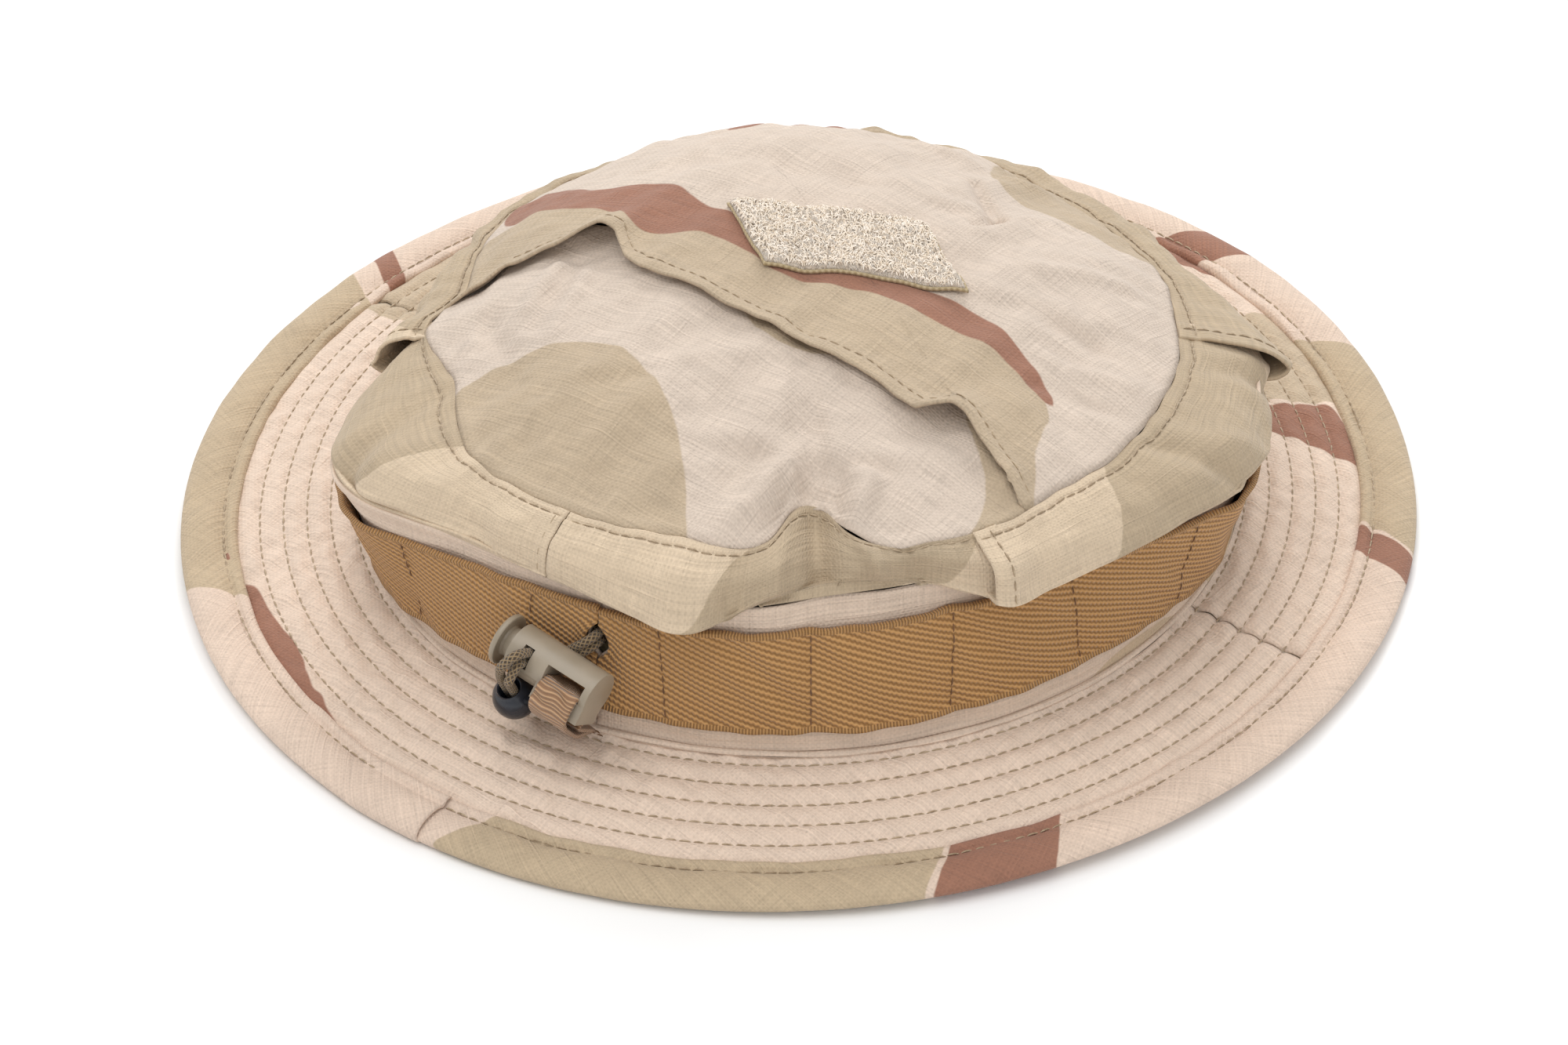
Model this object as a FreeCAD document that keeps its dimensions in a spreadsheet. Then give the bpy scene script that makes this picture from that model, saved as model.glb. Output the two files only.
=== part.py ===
import FreeCAD, Part
import math
import os
import re
import Sketcher
from FreeCAD import Placement, Rotation, Vector

# A boonie hat lying on its brim. +Z is up, +Y is the back of the hat (where the cord lock is) and
# the origin is on the table under the middle of the brim. Millimetres and degrees.
sizes = {
    "brim_half_length": 147,  # outer edge of the brim, front to back
    "brim_oval": 6,  # how much narrower the brim is from side to side, per half
    "crown_half_length": 103,  # where the crown meets the brim
    "crown_oval": 4,
    "binding_width": 11.5,
    "binding_height": 3.6,
    "binding_cloth": 0.5,
    "edge_inset": 2.2,  # brim layers end this far inside the rolled edge
    "edge_droop": 0.3,
    "brim_rise": 6,  # the brim climbs this much from its binding to the crown
    "brim_cloth": 0.6,
    "stiffener_cloth": 0.8,
    "stack_floor": 0.85,
    "stitch_row_start": 3,
    "stitch_row_spacing": 5.6,
    "thread": 0.5,
    "thread_proud": 0.3,
    "sidewall_lean": 5,
    "sidewall_cloth": 0.9,
    "layer_gap": 0.1,
    "elastic_bottom": 13,
    "elastic_width": 25,
    "elastic_cloth": 1.3,
    "sidewall_top": "=elastic_bottom + elastic_width + 3.5",
    "tack_count": 20,
    "sweatband_top": 34,
    "sweatband_cloth": 1.5,
    "tunnel_gap": 2.7,  # room for the drawcord between sidewall and sweatband
    "cord_size": 2.2,
    "cord_height": 31,
    "slit_x": -16,
    "slit_width": 3.2,
    "slit_height": 6.4,
    "slit_inner_share": 0.85,  # the slit's cutter spans from this share of the crown's half length
    "slit_reach_share": 0.33,  # over this share of it
    "fold_out": 9,  # the slack side band folds out past the sidewall by this much
    "fold_height": "=sidewall_top + 3.5",
    "seam_height": "=fold_height + 10",
    "seam_half_length": "=crown_half_length - 13",
    "crown_cloth": 0.8,
    "crown_height": "=seam_height + 16",
    "shoulder_inset": 7,
    "shoulder_rise": 7,
    "flat_inset": 26,
    "flat_rise": 12.5,
    "peak_inset": 62,
    "flap_y": 27,
    "flap_overlap": 15,
    "panel_gap": 0.2,
    "tape_width": 5,
    "tape_cloth": 0.8,
    "seam_stitch_share": 0.12,  # the row runs this far down from the seam to the fold
    "patch_length": 50,
    "patch_width": 25,
    "patch_cloth": 0.9,
    "patch_border": 1.8,
    "pile_height": 1.8,
    "patch_x": -9,
    "patch_y": -6,
    "patch_turn": 22,
    "label_width": 26,
    "label_drop": 14,
    "label_cloth": 0.3,
    "lock_mouth_x": -12.3,  # the side of the lock where the cord goes in
    "lock_mouth_y": "=crown_half_length + 1.69",
    "lock_mouth_z": 23.91,
    "lock_tilt": 11,
    "lock_roll": 35,
    "barrel_length": 21.4,
    "barrel_radius": 5.5,
    "foot_depth": 6.9,
    "foot_width": 9.2,
    "foot_length": 12.4,
    "end_wall": 1.6,
    "ribbon_width": 9.6,
    "ribbon_cloth": 0.9,
    "slot_clearance": 0.1,
    "slot_low": -2.6,
    "slot_high": 1.5,
    "plunger_radius": 3.7,
    "running_clearance": 0.06,
    "plunger_depth": 6.3,  # stem length inside the barrel at rest
    "plunger_travel": 2.4,
    "disc_radius": 5.75,
    "disc_thick": 1.4,
    "disc_stop_gap": 0.3,
    "spring_radius": 2.9,
    "spring_wire": 0.4,
    "spring_turns": 2.5,
    "spring_room": 3.3,
    "cord_hole_inset": 4.4,  # from the plunger end of the barrel to the cord hole
    "cord_clearance": 0.15,
    "ribbon_stand": 2.6,  # how far outside the crown seam the ribbon is sewn down
    "spring_points": 16,  # points of the wire's path for each half turn
    "bend_share": 0.45,  # a cord's bend takes this share of the shorter run beside it
    "strand_drift": 0.4,  # from the slit the two ends run out this far to the side
    "strand_out": 5.5,  # and this far away from the crown
    "tail_start": 0.4,
    "tail_out": 1.8,  # the tail leaves the lock by this much before it turns down
    "tail_over_x": 1.6,
    "tail_over_y": 2.9,
    "tail_over_z": -3.2,
    "tail_above_bead": 2.6,
    "ring_end_share": 0.725,  # how much sharper the drawcord's ring is at front and back
    "bead_x": -3.2,
    "bead_y": "=crown_half_length + 9.4",
    "bead_z": 17.6,
    "bead_radius": 4.9,
    "bead_lean": 26,
    "bead_bore_share": 0.6,  # the bore starts this share of the radius below the middle
    "edge_round": 0.6,
}

doc = FreeCAD.newDocument("boonie_hat")
sheet = doc.addObject("Spreadsheet::Sheet", "Sizes")
for row, (name, value) in enumerate(sizes.items(), start=1):
    sheet.set(f"A{row}", name)
    sheet.set(f"B{row}", str(value))
    sheet.setAlias(f"B{row}", name)
doc.recompute()

nodes = []


def size(name):
    """Value of one spreadsheet cell."""
    return float(getattr(sheet, name))


def bind(thing, prop, formula):
    """Ties a property to a formula of spreadsheet names."""
    thing.setExpression(prop, re.sub(r"[a-z][a-z_]+", lambda word: "Sizes." + word.group(), formula))


def keep(thing, label):
    """Marks a finished sub-part and names its node."""
    thing.Label = label
    nodes.append(thing)
    return thing


# ---------------------------------------------------------------- oval building blocks
def oval(name, half_length, narrower, height):
    """An ellipse round the hat's axis, long from front to back."""
    ring = doc.addObject("Part::Ellipse", name)
    ring.Placement = Placement(Vector(0, 0, 0), Rotation(Vector(0, 0, 1), 90))
    bind(ring, "MajorRadius", half_length)
    bind(ring, "MinorRadius", f"{half_length} - ({narrower})")
    bind(ring, "Placement.Base.z", height)
    return ring


def oval_solid(name, rings):
    """A solid through ovals given as (half length, how much narrower, height)."""
    solid = doc.addObject("Part::Loft", name)
    solid.Sections = [oval(f"{name}_oval_{i}", *ring) for i, ring in enumerate(rings)]
    solid.Solid = True
    solid.Ruled = True
    return solid


def cut(name, base, tool):
    result = doc.addObject("Part::Cut", name)
    result.Base = base
    result.Tool = tool
    return result


def oval_wall(name, rings, thickness):
    """A cloth wall: the solid through the rings less the same solid drawn in by the thickness."""
    outer = oval_solid(f"{name}_outer", rings)
    inner = oval_solid(f"{name}_inner", [(f"{a} - {thickness}", b, c) for a, b, c in rings])
    return cut(f"{name}_wall", outer, inner)


def group(name, members):
    """Identical small pieces that share one node."""
    together = doc.addObject("Part::Compound", name)
    together.Links = members
    return together


# ---------------------------------------------------------------- brim
stack = "(2 * brim_cloth + stiffener_cloth)"
brim_bend = "(brim_half_length - binding_width)"
brim_edge = "(brim_half_length - edge_inset)"
crown_bore = oval_solid("crown_bore", [
    ("crown_half_length", "crown_oval", "0 * brim_rise - 5"),
    ("crown_half_length", "crown_oval", "crown_height"),
])


def brim_surface(name, lift, skirt):
    """Everything under the brim's surface, raised by lift, down to a skirt below its edge."""
    return oval_solid(name, [
        ("crown_half_length - 1", "crown_oval", f"stack_floor + brim_rise + {lift}"),
        ("crown_half_length", "crown_oval", f"stack_floor + brim_rise + {lift} - 0.001"),
        (brim_bend, "brim_oval", f"stack_floor + {lift}"),
        (brim_edge, "brim_oval", f"stack_floor - edge_droop + {lift}"),
        (brim_edge, "brim_oval", f"stack_floor - edge_droop + {lift} - {skirt}"),
    ])


def brim_layer(name, lift, thickness):
    """One cloth layer of the brim, with the crown's hole through it."""
    upper = brim_surface(f"{name}_upper", f"{lift} + {thickness}", thickness)
    lower = brim_surface(f"{name}_lower", lift, thickness)
    return cut(f"{name}_layer", cut(f"{name}_disc", upper, lower), crown_bore)


def half(name, whole, front):
    """The front or the rear half of a brim layer, which is seamed at the hat's sides."""
    block = doc.addObject("Part::Box", f"{name}_block")
    bind(block, "Length", "2 * brim_half_length + 2")
    bind(block, "Width", "brim_half_length + 1")
    bind(block, "Height", "crown_height")
    bind(block, "Placement.Base.x", "-brim_half_length - 1")
    bind(block, "Placement.Base.y", "-brim_half_length - 1" if front else "0 * brim_half_length")
    bind(block, "Placement.Base.z", "-binding_height")
    common = doc.addObject("Part::Common", f"{name}_half")
    common.Base = whole
    common.Tool = block
    return keep(common, name)


for cloth_name, lift in (("brim_lower_fabric", "0 * brim_cloth"),
                         ("brim_upper_fabric", "brim_cloth + stiffener_cloth")):
    half(f"{cloth_name}_rear", brim_layer(f"{cloth_name}_rear", lift, "brim_cloth"), front=False)
    half(f"{cloth_name}_front", brim_layer(f"{cloth_name}_front", lift, "brim_cloth"), front=True)
keep(brim_layer("brim_stiffener", "brim_cloth", "stiffener_cloth"), "brim_stiffener")

binding_roll = oval_solid("binding_roll", [
    ("brim_half_length - binding_height / 2", "brim_oval", "0 * binding_height"),
    ("brim_half_length", "brim_oval", "binding_height / 2"),
    ("brim_half_length - binding_height / 2", "brim_oval", "binding_height"),
])
binding_slot = oval_solid("binding_slot", [
    ("brim_half_length - edge_inset + layer_gap", "brim_oval", "binding_cloth"),
    ("brim_half_length - edge_inset + layer_gap", "brim_oval", "binding_height - binding_cloth"),
])
binding_hole = oval_solid("binding_hole", [
    (brim_bend, "brim_oval", "-binding_height"),
    (brim_bend, "brim_oval", "2 * binding_height"),
])
keep(cut("binding_ring", cut("binding_fold", binding_roll, binding_slot), binding_hole), "brim_binding")


def thread_ring(name, half_length, narrower, height):
    """One row of stitches that stands a little proud of the cloth."""
    return oval_wall(name, [
        (f"{half_length} + thread / 2", narrower, height),
        (f"{half_length} + thread / 2", narrower, f"{height} + thread_proud"),
    ], "thread")


def quilting_row(index):
    """A stitch row on the sloping brim, counted out from the crown."""
    out = f"(stitch_row_start + {index} * stitch_row_spacing)"
    share = f"({out} / ({brim_bend} - crown_half_length))"
    before = f"(({out} - thread) / ({brim_bend} - crown_half_length))"
    return thread_ring(
        f"quilting_{index}",
        f"crown_half_length + {out}",
        f"crown_oval + (brim_oval - crown_oval) * {share}",
        f"stack_floor + {stack} + brim_rise * (1 - {before})",
    )


quilting_rows = 6
keep(group("quilting", [quilting_row(i) for i in range(quilting_rows)]), "brim_quilting_thread")
keep(thread_ring("binding_stitches", f"{brim_bend} + 4 * thread", "brim_oval",
                 "binding_height + layer_gap / 10"), "binding_thread")

# ---------------------------------------------------------------- crown sidewall, elastic, sweatband
sidewall_foot = "(stack_floor + brim_rise)"


def sidewall_at(height):
    """Half length of the sidewall's outer face at a height."""
    climb = f"(({height}) - {sidewall_foot}) / (sidewall_top - {sidewall_foot})"
    return f"(crown_half_length - layer_gap - sidewall_lean * {climb})"


def slit_block(name):
    """The buttonhole that the drawcord comes out of, through every cloth it meets."""
    block = doc.addObject("Part::Box", name)
    bind(block, "Length", "slit_width")
    bind(block, "Width", "crown_half_length * slit_reach_share")
    bind(block, "Height", "slit_height")
    bind(block, "Placement.Base.x", "slit_x - slit_width / 2")
    bind(block, "Placement.Base.y", "crown_half_length * slit_inner_share")
    bind(block, "Placement.Base.z", "cord_height - slit_height / 2")
    return block


def follows_sidewall(name, low, high, outward, thickness):
    """A band of cloth parallel to the sidewall, its outer face this far outside the sidewall's."""
    return oval_wall(name, [
        (f"{sidewall_at(low)} + {outward}", "crown_oval", low),
        (f"{sidewall_at(high)} + {outward}", "crown_oval", high),
    ], thickness)


elastic_top = "(elastic_bottom + elastic_width)"
sidewall = follows_sidewall("sidewall", sidewall_foot, "sidewall_top", "0 * layer_gap", "sidewall_cloth")
keep(cut("sidewall_with_slit", sidewall, slit_block("sidewall_slit")), "sidewall")
elastic = follows_sidewall("elastic", "elastic_bottom", elastic_top, "(layer_gap + elastic_cloth)",
                           "elastic_cloth")
keep(cut("elastic_with_slit", elastic, slit_block("elastic_slit")), "elastic_band")
keep(follows_sidewall("sweatband_ring", sidewall_foot, "sweatband_top",
                      "(-sidewall_cloth - tunnel_gap)", "sweatband_cloth"), "sweatband")


def sidewall_point(angle, height, outward):
    """A point outside the sidewall's outer face, at an angle round the hat."""
    climb = (height - size("stack_floor") - size("brim_rise")) / (
        size("sidewall_top") - size("stack_floor") - size("brim_rise"))
    half_length = size("crown_half_length") - size("layer_gap") - size("sidewall_lean") * climb + outward
    half_width = half_length - size("crown_oval")
    return Vector(half_width * math.cos(angle), half_length * math.sin(angle), height)


def part_feature(label, shape):
    thing = doc.addObject("Part::Feature", label + "_shape")
    thing.Shape = shape
    return keep(thing, label)


def tack(index):
    """One upright row of stitches that holds the elastic band down."""
    turn = 2 * math.pi * (index + 0.5) / size("tack_count") + math.pi / 2
    outward = size("layer_gap") + size("elastic_cloth") + size("thread") / 2 + size("thread_proud") / 2
    low = sidewall_point(turn, size("elastic_bottom") + size("thread"), outward)
    high = sidewall_point(turn, size("elastic_bottom") + size("elastic_width") - size("thread"), outward)
    return Part.makeCylinder(size("thread") / 2, (high - low).Length, low, high - low)


part_feature("elastic_band_tacks", Part.makeCompound([tack(i) for i in range(int(size("tack_count")))]))

label_block = doc.addObject("Part::Box", "size_label_block")
bind(label_block, "Length", "label_width")
bind(label_block, "Width", "crown_half_length")
bind(label_block, "Height", "crown_height")
bind(label_block, "Placement.Base.x", "-label_width / 2")
bind(label_block, "Placement.Base.y", "-crown_half_length")
size_label = doc.addObject("Part::Common", "size_label_cloth")
size_label.Base = follows_sidewall("size_label", "(sweatband_top - label_drop)", "sweatband_top",
                                   "(-sidewall_cloth - tunnel_gap - sweatband_cloth - layer_gap / 2)",
                                   "label_cloth")
size_label.Tool = label_block
keep(size_label, "size_label")

# ---------------------------------------------------------------- side band of the crown, in four panels
fold = f"({sidewall_at('sidewall_top')} + fold_out)"
side_rings = [
    (f"{sidewall_at('sidewall_top')}", "crown_oval", "sidewall_top + layer_gap / 10"),
    (fold, "crown_oval", "fold_height"),
    ("seam_half_length", "crown_oval", "seam_height"),
]
panel_ends = {"side_panel_rear_left": (33, 92.5), "side_panel_rear_right": (92.5, 148),
              "side_panel_right": (148, 215), "side_panel_front": (215, 393)}
for label, (start, end) in panel_ends.items():
    sector = doc.addObject("Part::Cylinder", f"{label}_sector")
    bind(sector, "Radius", "brim_half_length")
    bind(sector, "Height", "crown_height")
    gap_turn = math.degrees(size("panel_gap") / size("crown_half_length"))
    sector.Angle = end - start - gap_turn
    sector.Placement = Placement(Vector(0, 0, 0), Rotation(Vector(0, 0, 1), start + gap_turn / 2))
    panel = doc.addObject("Part::Common", f"{label}_cloth")
    panel.Base = oval_wall(label, side_rings, "crown_cloth")
    panel.Tool = sector
    keep(panel, label)


# ---------------------------------------------------------------- crown top
def crown_solid(name, lift, inset):
    """The crown's domed top down to the seam: lift raises it and inset draws its sides in."""
    return oval_solid(name, [
        (f"seam_half_length - {inset}", "crown_oval", "seam_height"),
        (f"seam_half_length - {inset} - shoulder_inset", "crown_oval",
         f"seam_height + shoulder_rise + {lift}"),
        (f"seam_half_length - {inset} - flat_inset", "crown_oval", f"seam_height + flat_rise + {lift}"),
        (f"seam_half_length - {inset} - peak_inset", "crown_oval", f"crown_height - crown_cloth + {lift}"),
    ])


def crown_layer(name, lift, inset):
    outer = crown_solid(f"{name}_outer", lift, inset)
    inner = crown_solid(f"{name}_inner", f"({lift} - crown_cloth)", f"({inset} + crown_cloth)")
    return cut(f"{name}_dome", outer, inner)


def crown_half(label, lift, inset, front):
    """The rear panel runs under the front panel's hemmed flap."""
    block = doc.addObject("Part::Box", f"{label}_block")
    bind(block, "Length", "2 * crown_half_length")
    bind(block, "Width", "2 * crown_half_length")
    bind(block, "Height", "2 * crown_height")
    bind(block, "Placement.Base.x", "-crown_half_length")
    bind(block, "Placement.Base.y", "flap_y - 2 * crown_half_length" if front else "flap_y - flap_overlap")
    common = doc.addObject("Part::Common", f"{label}_cloth")
    common.Base = crown_layer(label, lift, inset)
    common.Tool = block
    keep(common, label)


crown_half("crown_top_rear", "0 * crown_cloth", "(crown_cloth + layer_gap)", front=False)
crown_half("crown_top_front", "(crown_cloth + 2 * layer_gap)", "0 * crown_cloth", front=True)

keep(oval_wall("tape_ring", [
    ("seam_half_length - crown_cloth - layer_gap", "crown_oval", "seam_height - tape_width"),
    ("seam_half_length - crown_cloth - layer_gap", "crown_oval", "seam_height"),
], "tape_cloth"), "top_seam_tape")


def topstitch_row(name, share):
    """A stitch row on the side band, at this share of the way down from the seam to the fold."""
    return thread_ring(
        name,
        f"seam_half_length + thread + ({fold} - seam_half_length) * {share}",
        "crown_oval",
        f"seam_height - (seam_height - fold_height) * {share}",
    )


keep(topstitch_row("seam_stitches", "seam_stitch_share"), "crown_topstitch_thread")


# ---------------------------------------------------------------- patch
def patch_block(label, shrink, height, lift):
    block = doc.addObject("Part::Box", f"{label}_box")
    bind(block, "Length", f"patch_length - 2 * {shrink}")
    bind(block, "Width", f"patch_width - 2 * {shrink}")
    bind(block, "Height", height)
    turn = Rotation(Vector(0, 0, 1), size("patch_turn"))
    block.Placement = Placement(Vector(0, 0, 0), turn)
    half_along, half_across = turn.multVec(Vector(-0.5, 0, 0)), turn.multVec(Vector(0, -0.5, 0))
    for axis in ("x", "y"):
        along = getattr(half_along, axis)
        across = getattr(half_across, axis)
        bind(block, f"Placement.Base.{axis}",
             f"patch_{axis} + ({along:.9f}) * (patch_length - 2 * {shrink})"
             f" + ({across:.9f}) * (patch_width - 2 * {shrink})")
    bind(block, "Placement.Base.z", f"crown_height + 2 * layer_gap + {lift}")
    return keep(block, label)


patch_block("patch_backing", "0 * patch_border", "patch_cloth", "layer_gap / 2")
patch_block("patch_pile", "patch_border", "pile_height", "patch_cloth + layer_gap / 2")

# ---------------------------------------------------------------- cord lock
lock_turn = Rotation(Vector(0, 1, 0), -size("lock_tilt")).multiply(Rotation(Vector(1, 0, 0), size("lock_roll")))
lock_mouth = Vector(size("lock_mouth_x"), size("lock_mouth_y"), size("lock_mouth_z"))
lock_place = Placement(lock_mouth + lock_turn.multVec(Vector(0, size("barrel_radius"), 0)), lock_turn)


def origin_plane(body, role):
    return next(feature for feature in body.Origin.OriginFeatures if feature.Role == role)


def sketch_on(body, name, role, offset="0 * thread"):
    """A sketch on one of the body's own planes, moved along the plane's normal."""
    sketch = body.newObject("Sketcher::SketchObject", name)
    sketch.AttachmentSupport = (origin_plane(body, role), [""])
    sketch.MapMode = "FlatFace"
    bind(sketch, "AttachmentOffset.Base.z", offset)
    return sketch


def constrain(sketch, formula, *arguments):
    """Adds one dimension and ties it to its formula."""
    index = sketch.addConstraint(Sketcher.Constraint(*arguments))
    bind(sketch, f"Constraints[{index}]", formula)


def add_circle(sketch, radius):
    """A circle round the sketch's origin."""
    edge = sketch.addGeometry(Part.Circle(Vector(0, 0, 0), Vector(0, 0, 1), 1))
    sketch.addConstraint(Sketcher.Constraint("Coincident", edge, 3, -1, 1))
    constrain(sketch, radius, "Radius", edge, 1)


def add_rectangle(sketch, left, right, low, high):
    """A rectangle whose sides stand at four given coordinates."""
    corners = [Vector(0, 0, 0), Vector(1, 0, 0), Vector(1, 1, 0), Vector(0, 1, 0)]
    sides = [sketch.addGeometry(Part.LineSegment(corners[i], corners[(i + 1) % 4])) for i in range(4)]
    for i in range(4):
        sketch.addConstraint(Sketcher.Constraint("Coincident", sides[i], 2, sides[(i + 1) % 4], 1))
        sketch.addConstraint(Sketcher.Constraint("Vertical" if i % 2 else "Horizontal", sides[i]))
    constrain(sketch, left, "DistanceX", sides[0], 1, 0)
    constrain(sketch, right, "DistanceX", sides[0], 2, 1)
    constrain(sketch, low, "DistanceY", sides[0], 1, 0)
    constrain(sketch, high, "DistanceY", sides[1], 2, 1)


def extrude(body, kind, name, sketch, length, reverse=False, both=False):
    """A pad or a pocket of the sketch."""
    feature = body.newObject(f"PartDesign::{kind}", name)
    feature.Profile = sketch
    bind(feature, "Length", length)
    feature.Midplane = both
    feature.Reversed = reverse
    doc.recompute()
    return feature


def body_at(label, placement):
    body = doc.addObject("PartDesign::Body", label + "_body")
    body.Placement = placement
    return keep(body, label)


# The barrel lies along its own X, with the plunger at +X, the cord hole along Y and the foot at -Z.
barrel_end = "(barrel_length / 2)"
hole_x = f"({barrel_end} - cord_hole_inset)"
slot_left = f"(-{barrel_end} + end_wall)"
slot_right = f"({slot_left} + ribbon_width + 2 * slot_clearance)"
hole_width = "(cord_size + 2 * cord_clearance)"
hole_height = "(2 * cord_size + 4 * cord_clearance)"

barrel = body_at("cord_lock_barrel", lock_place)
sketch = sketch_on(barrel, "barrel_round", "YZ_Plane")
add_circle(sketch, "barrel_radius")
extrude(barrel, "Pad", "barrel_pad", sketch, "barrel_length", both=True)
sketch = sketch_on(barrel, "foot_outline", "YZ_Plane", f"-{barrel_end}")
add_rectangle(sketch, "-foot_width / 2", "foot_width / 2", "-foot_depth", "0 * foot_depth")
foot = extrude(barrel, "Pad", "foot_pad", sketch, "foot_length")
whole = foot.Shape.Volume
sketch = sketch_on(barrel, "plunger_bore_outline", "YZ_Plane", barrel_end)
add_circle(sketch, "plunger_radius + running_clearance")
bore = extrude(barrel, "Pocket", "plunger_bore", sketch, "plunger_depth + spring_room")
sketch = sketch_on(barrel, "cord_hole_outline", "XZ_Plane")
add_rectangle(sketch, f"{hole_x} - {hole_width} / 2", f"{hole_x} + {hole_width} / 2",
              f"-{hole_height} / 2", f"{hole_height} / 2")
cord_hole = extrude(barrel, "Pocket", "cord_hole", sketch, "4 * barrel_radius", both=True)
sketch = sketch_on(barrel, "ribbon_slot_outline", "XZ_Plane")
add_rectangle(sketch, slot_left, slot_right, "slot_low", "slot_high")
slot = extrude(barrel, "Pocket", "ribbon_slot", sketch, "4 * barrel_radius", both=True)
if not slot.Shape.Volume < cord_hole.Shape.Volume < bore.Shape.Volume < whole:
    raise RuntimeError("a pocket of the barrel cut nothing")

plunger = body_at("cord_lock_plunger", lock_place)
sketch = sketch_on(plunger, "stem_outline", "YZ_Plane", f"{barrel_end} - plunger_depth")
add_circle(sketch, "plunger_radius")
extrude(plunger, "Pad", "stem_pad", sketch, "plunger_depth + plunger_travel + disc_stop_gap + disc_thick / 2")
sketch = sketch_on(plunger, "disc_outline", "YZ_Plane", f"{barrel_end} + plunger_travel + disc_stop_gap")
add_circle(sketch, "disc_radius")
disc = extrude(plunger, "Pad", "disc_pad", sketch, "disc_thick")
rim = [f"Edge{i + 1}" for i, edge in enumerate(disc.Shape.Edges)
       if abs(edge.Length - 2 * math.pi * size("disc_radius")) < 0.01]
soft_rim = plunger.newObject("PartDesign::Fillet", "soft_rim")
soft_rim.Base = (disc, rim)
bind(soft_rim, "Radius", "edge_round")
doc.recompute()
sketch = sketch_on(plunger, "stem_hole_outline", "XZ_Plane")
add_rectangle(sketch, f"{hole_x} - {hole_width} / 2", f"{hole_x} + {hole_width} / 2 + plunger_travel",
              f"-{hole_height} / 2", f"{hole_height} / 2")
stem_hole = extrude(plunger, "Pocket", "stem_hole", sketch, "4 * plunger_radius", both=True)
if stem_hole.Shape.Volume >= soft_rim.Shape.Volume:
    raise RuntimeError("the plunger's cord hole cut nothing")

spring_floor = size("barrel_length") / 2 - size("plunger_depth") - size("spring_room")
wire = size("spring_wire")
coil_height = size("spring_room") - 2 * wire
coil_points = []
coil_steps = int(size("spring_points") * size("spring_turns") * 2)
for step in range(coil_steps + 1):
    turn = 2 * math.pi * size("spring_turns") * step / coil_steps
    coil_points.append(Vector(spring_floor + wire + coil_height * step / coil_steps,
                              size("spring_radius") * math.cos(turn), size("spring_radius") * math.sin(turn)))
helix = Part.BSplineCurve()
helix.interpolate(coil_points)
heading = helix.tangent(helix.FirstParameter)[0]
section = Part.Wire(Part.makeCircle(wire / 2, coil_points[0], heading))
coil = Part.Wire(helix.toShape()).makePipeShell([section], True, False)
spring = part_feature("cord_lock_spring", coil)
spring.Placement = lock_place.multiply(spring.Placement)


# ---------------------------------------------------------------- ribbon loop
def junction_point(x):
    """Where the ribbon's ends are sewn down, over the brim's first stitches outside the crown seam."""
    half_length = size("crown_half_length")
    half_width = half_length - size("crown_oval")
    foot_y = half_length * math.sqrt(1 - (x / half_width) ** 2)
    brim_run = size("brim_half_length") - size("binding_width") - half_length
    fallen = size("brim_rise") * (size("ribbon_stand") - size("ribbon_cloth") / 2) / brim_run
    layers = 2 * size("brim_cloth") + size("stiffener_cloth")
    brim_top = size("stack_floor") + size("brim_rise") - fallen + layers
    return Vector(x, foot_y + size("ribbon_stand"), brim_top + size("thread_proud") + size("slot_clearance"))


ribbon_middle_x = -size("barrel_length") / 2 + size("end_wall") + size("slot_clearance") \
    + size("ribbon_width") / 2
ribbon_sewn = junction_point(lock_place.multVec(Vector(ribbon_middle_x, 0, 0)).x)
clear = size("slot_clearance")
cloth = size("ribbon_cloth")
dips = math.sin(math.radians(size("lock_tilt"))) * size("ribbon_width") / 4
turn_in = ribbon_sewn + Vector(0, 0, dips + cloth + size("thread_proud") + clear)
sewn_local = lock_place.inverse().multVec(turn_in)
bar_half_width = max(size("foot_width") / 2,
                     math.sqrt(size("barrel_radius") ** 2 - size("slot_low") ** 2))
front_y = bar_half_width + clear
bar_top = size("slot_low") + clear
bar_foot = -size("foot_depth") - clear
path = [Vector(0, sewn_local.y, sewn_local.z), Vector(0, -front_y - cloth, bar_top),
        Vector(0, front_y, bar_top), Vector(0, front_y, bar_foot)]
inside = Part.Wire(Part.makePolygon(path + path[:1]))
outside = Part.Face(inside).makeOffset2D(cloth, 0)
loop = outside.cut(Part.Face(inside)).extrude(Vector(size("ribbon_width"), 0, 0))
loop.translate(Vector(ribbon_middle_x - size("ribbon_width") / 2, 0, 0))
ribbon = part_feature("lock_ribbon", loop)
ribbon.Placement = lock_place.multiply(ribbon.Placement)

tack_block = doc.addObject("Part::Box", "ribbon_tack_box")
bind(tack_block, "Length", "ribbon_width")
bind(tack_block, "Width", "2 * ribbon_cloth")
bind(tack_block, "Height", "thread_proud")
tack_block.Placement = Placement(
    ribbon_sewn + Vector(-size("ribbon_width") / 2, -size("ribbon_cloth") / 2, size("thread_proud") / 10),
    Rotation())
keep(tack_block, "lock_ribbon_tack")


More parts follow.
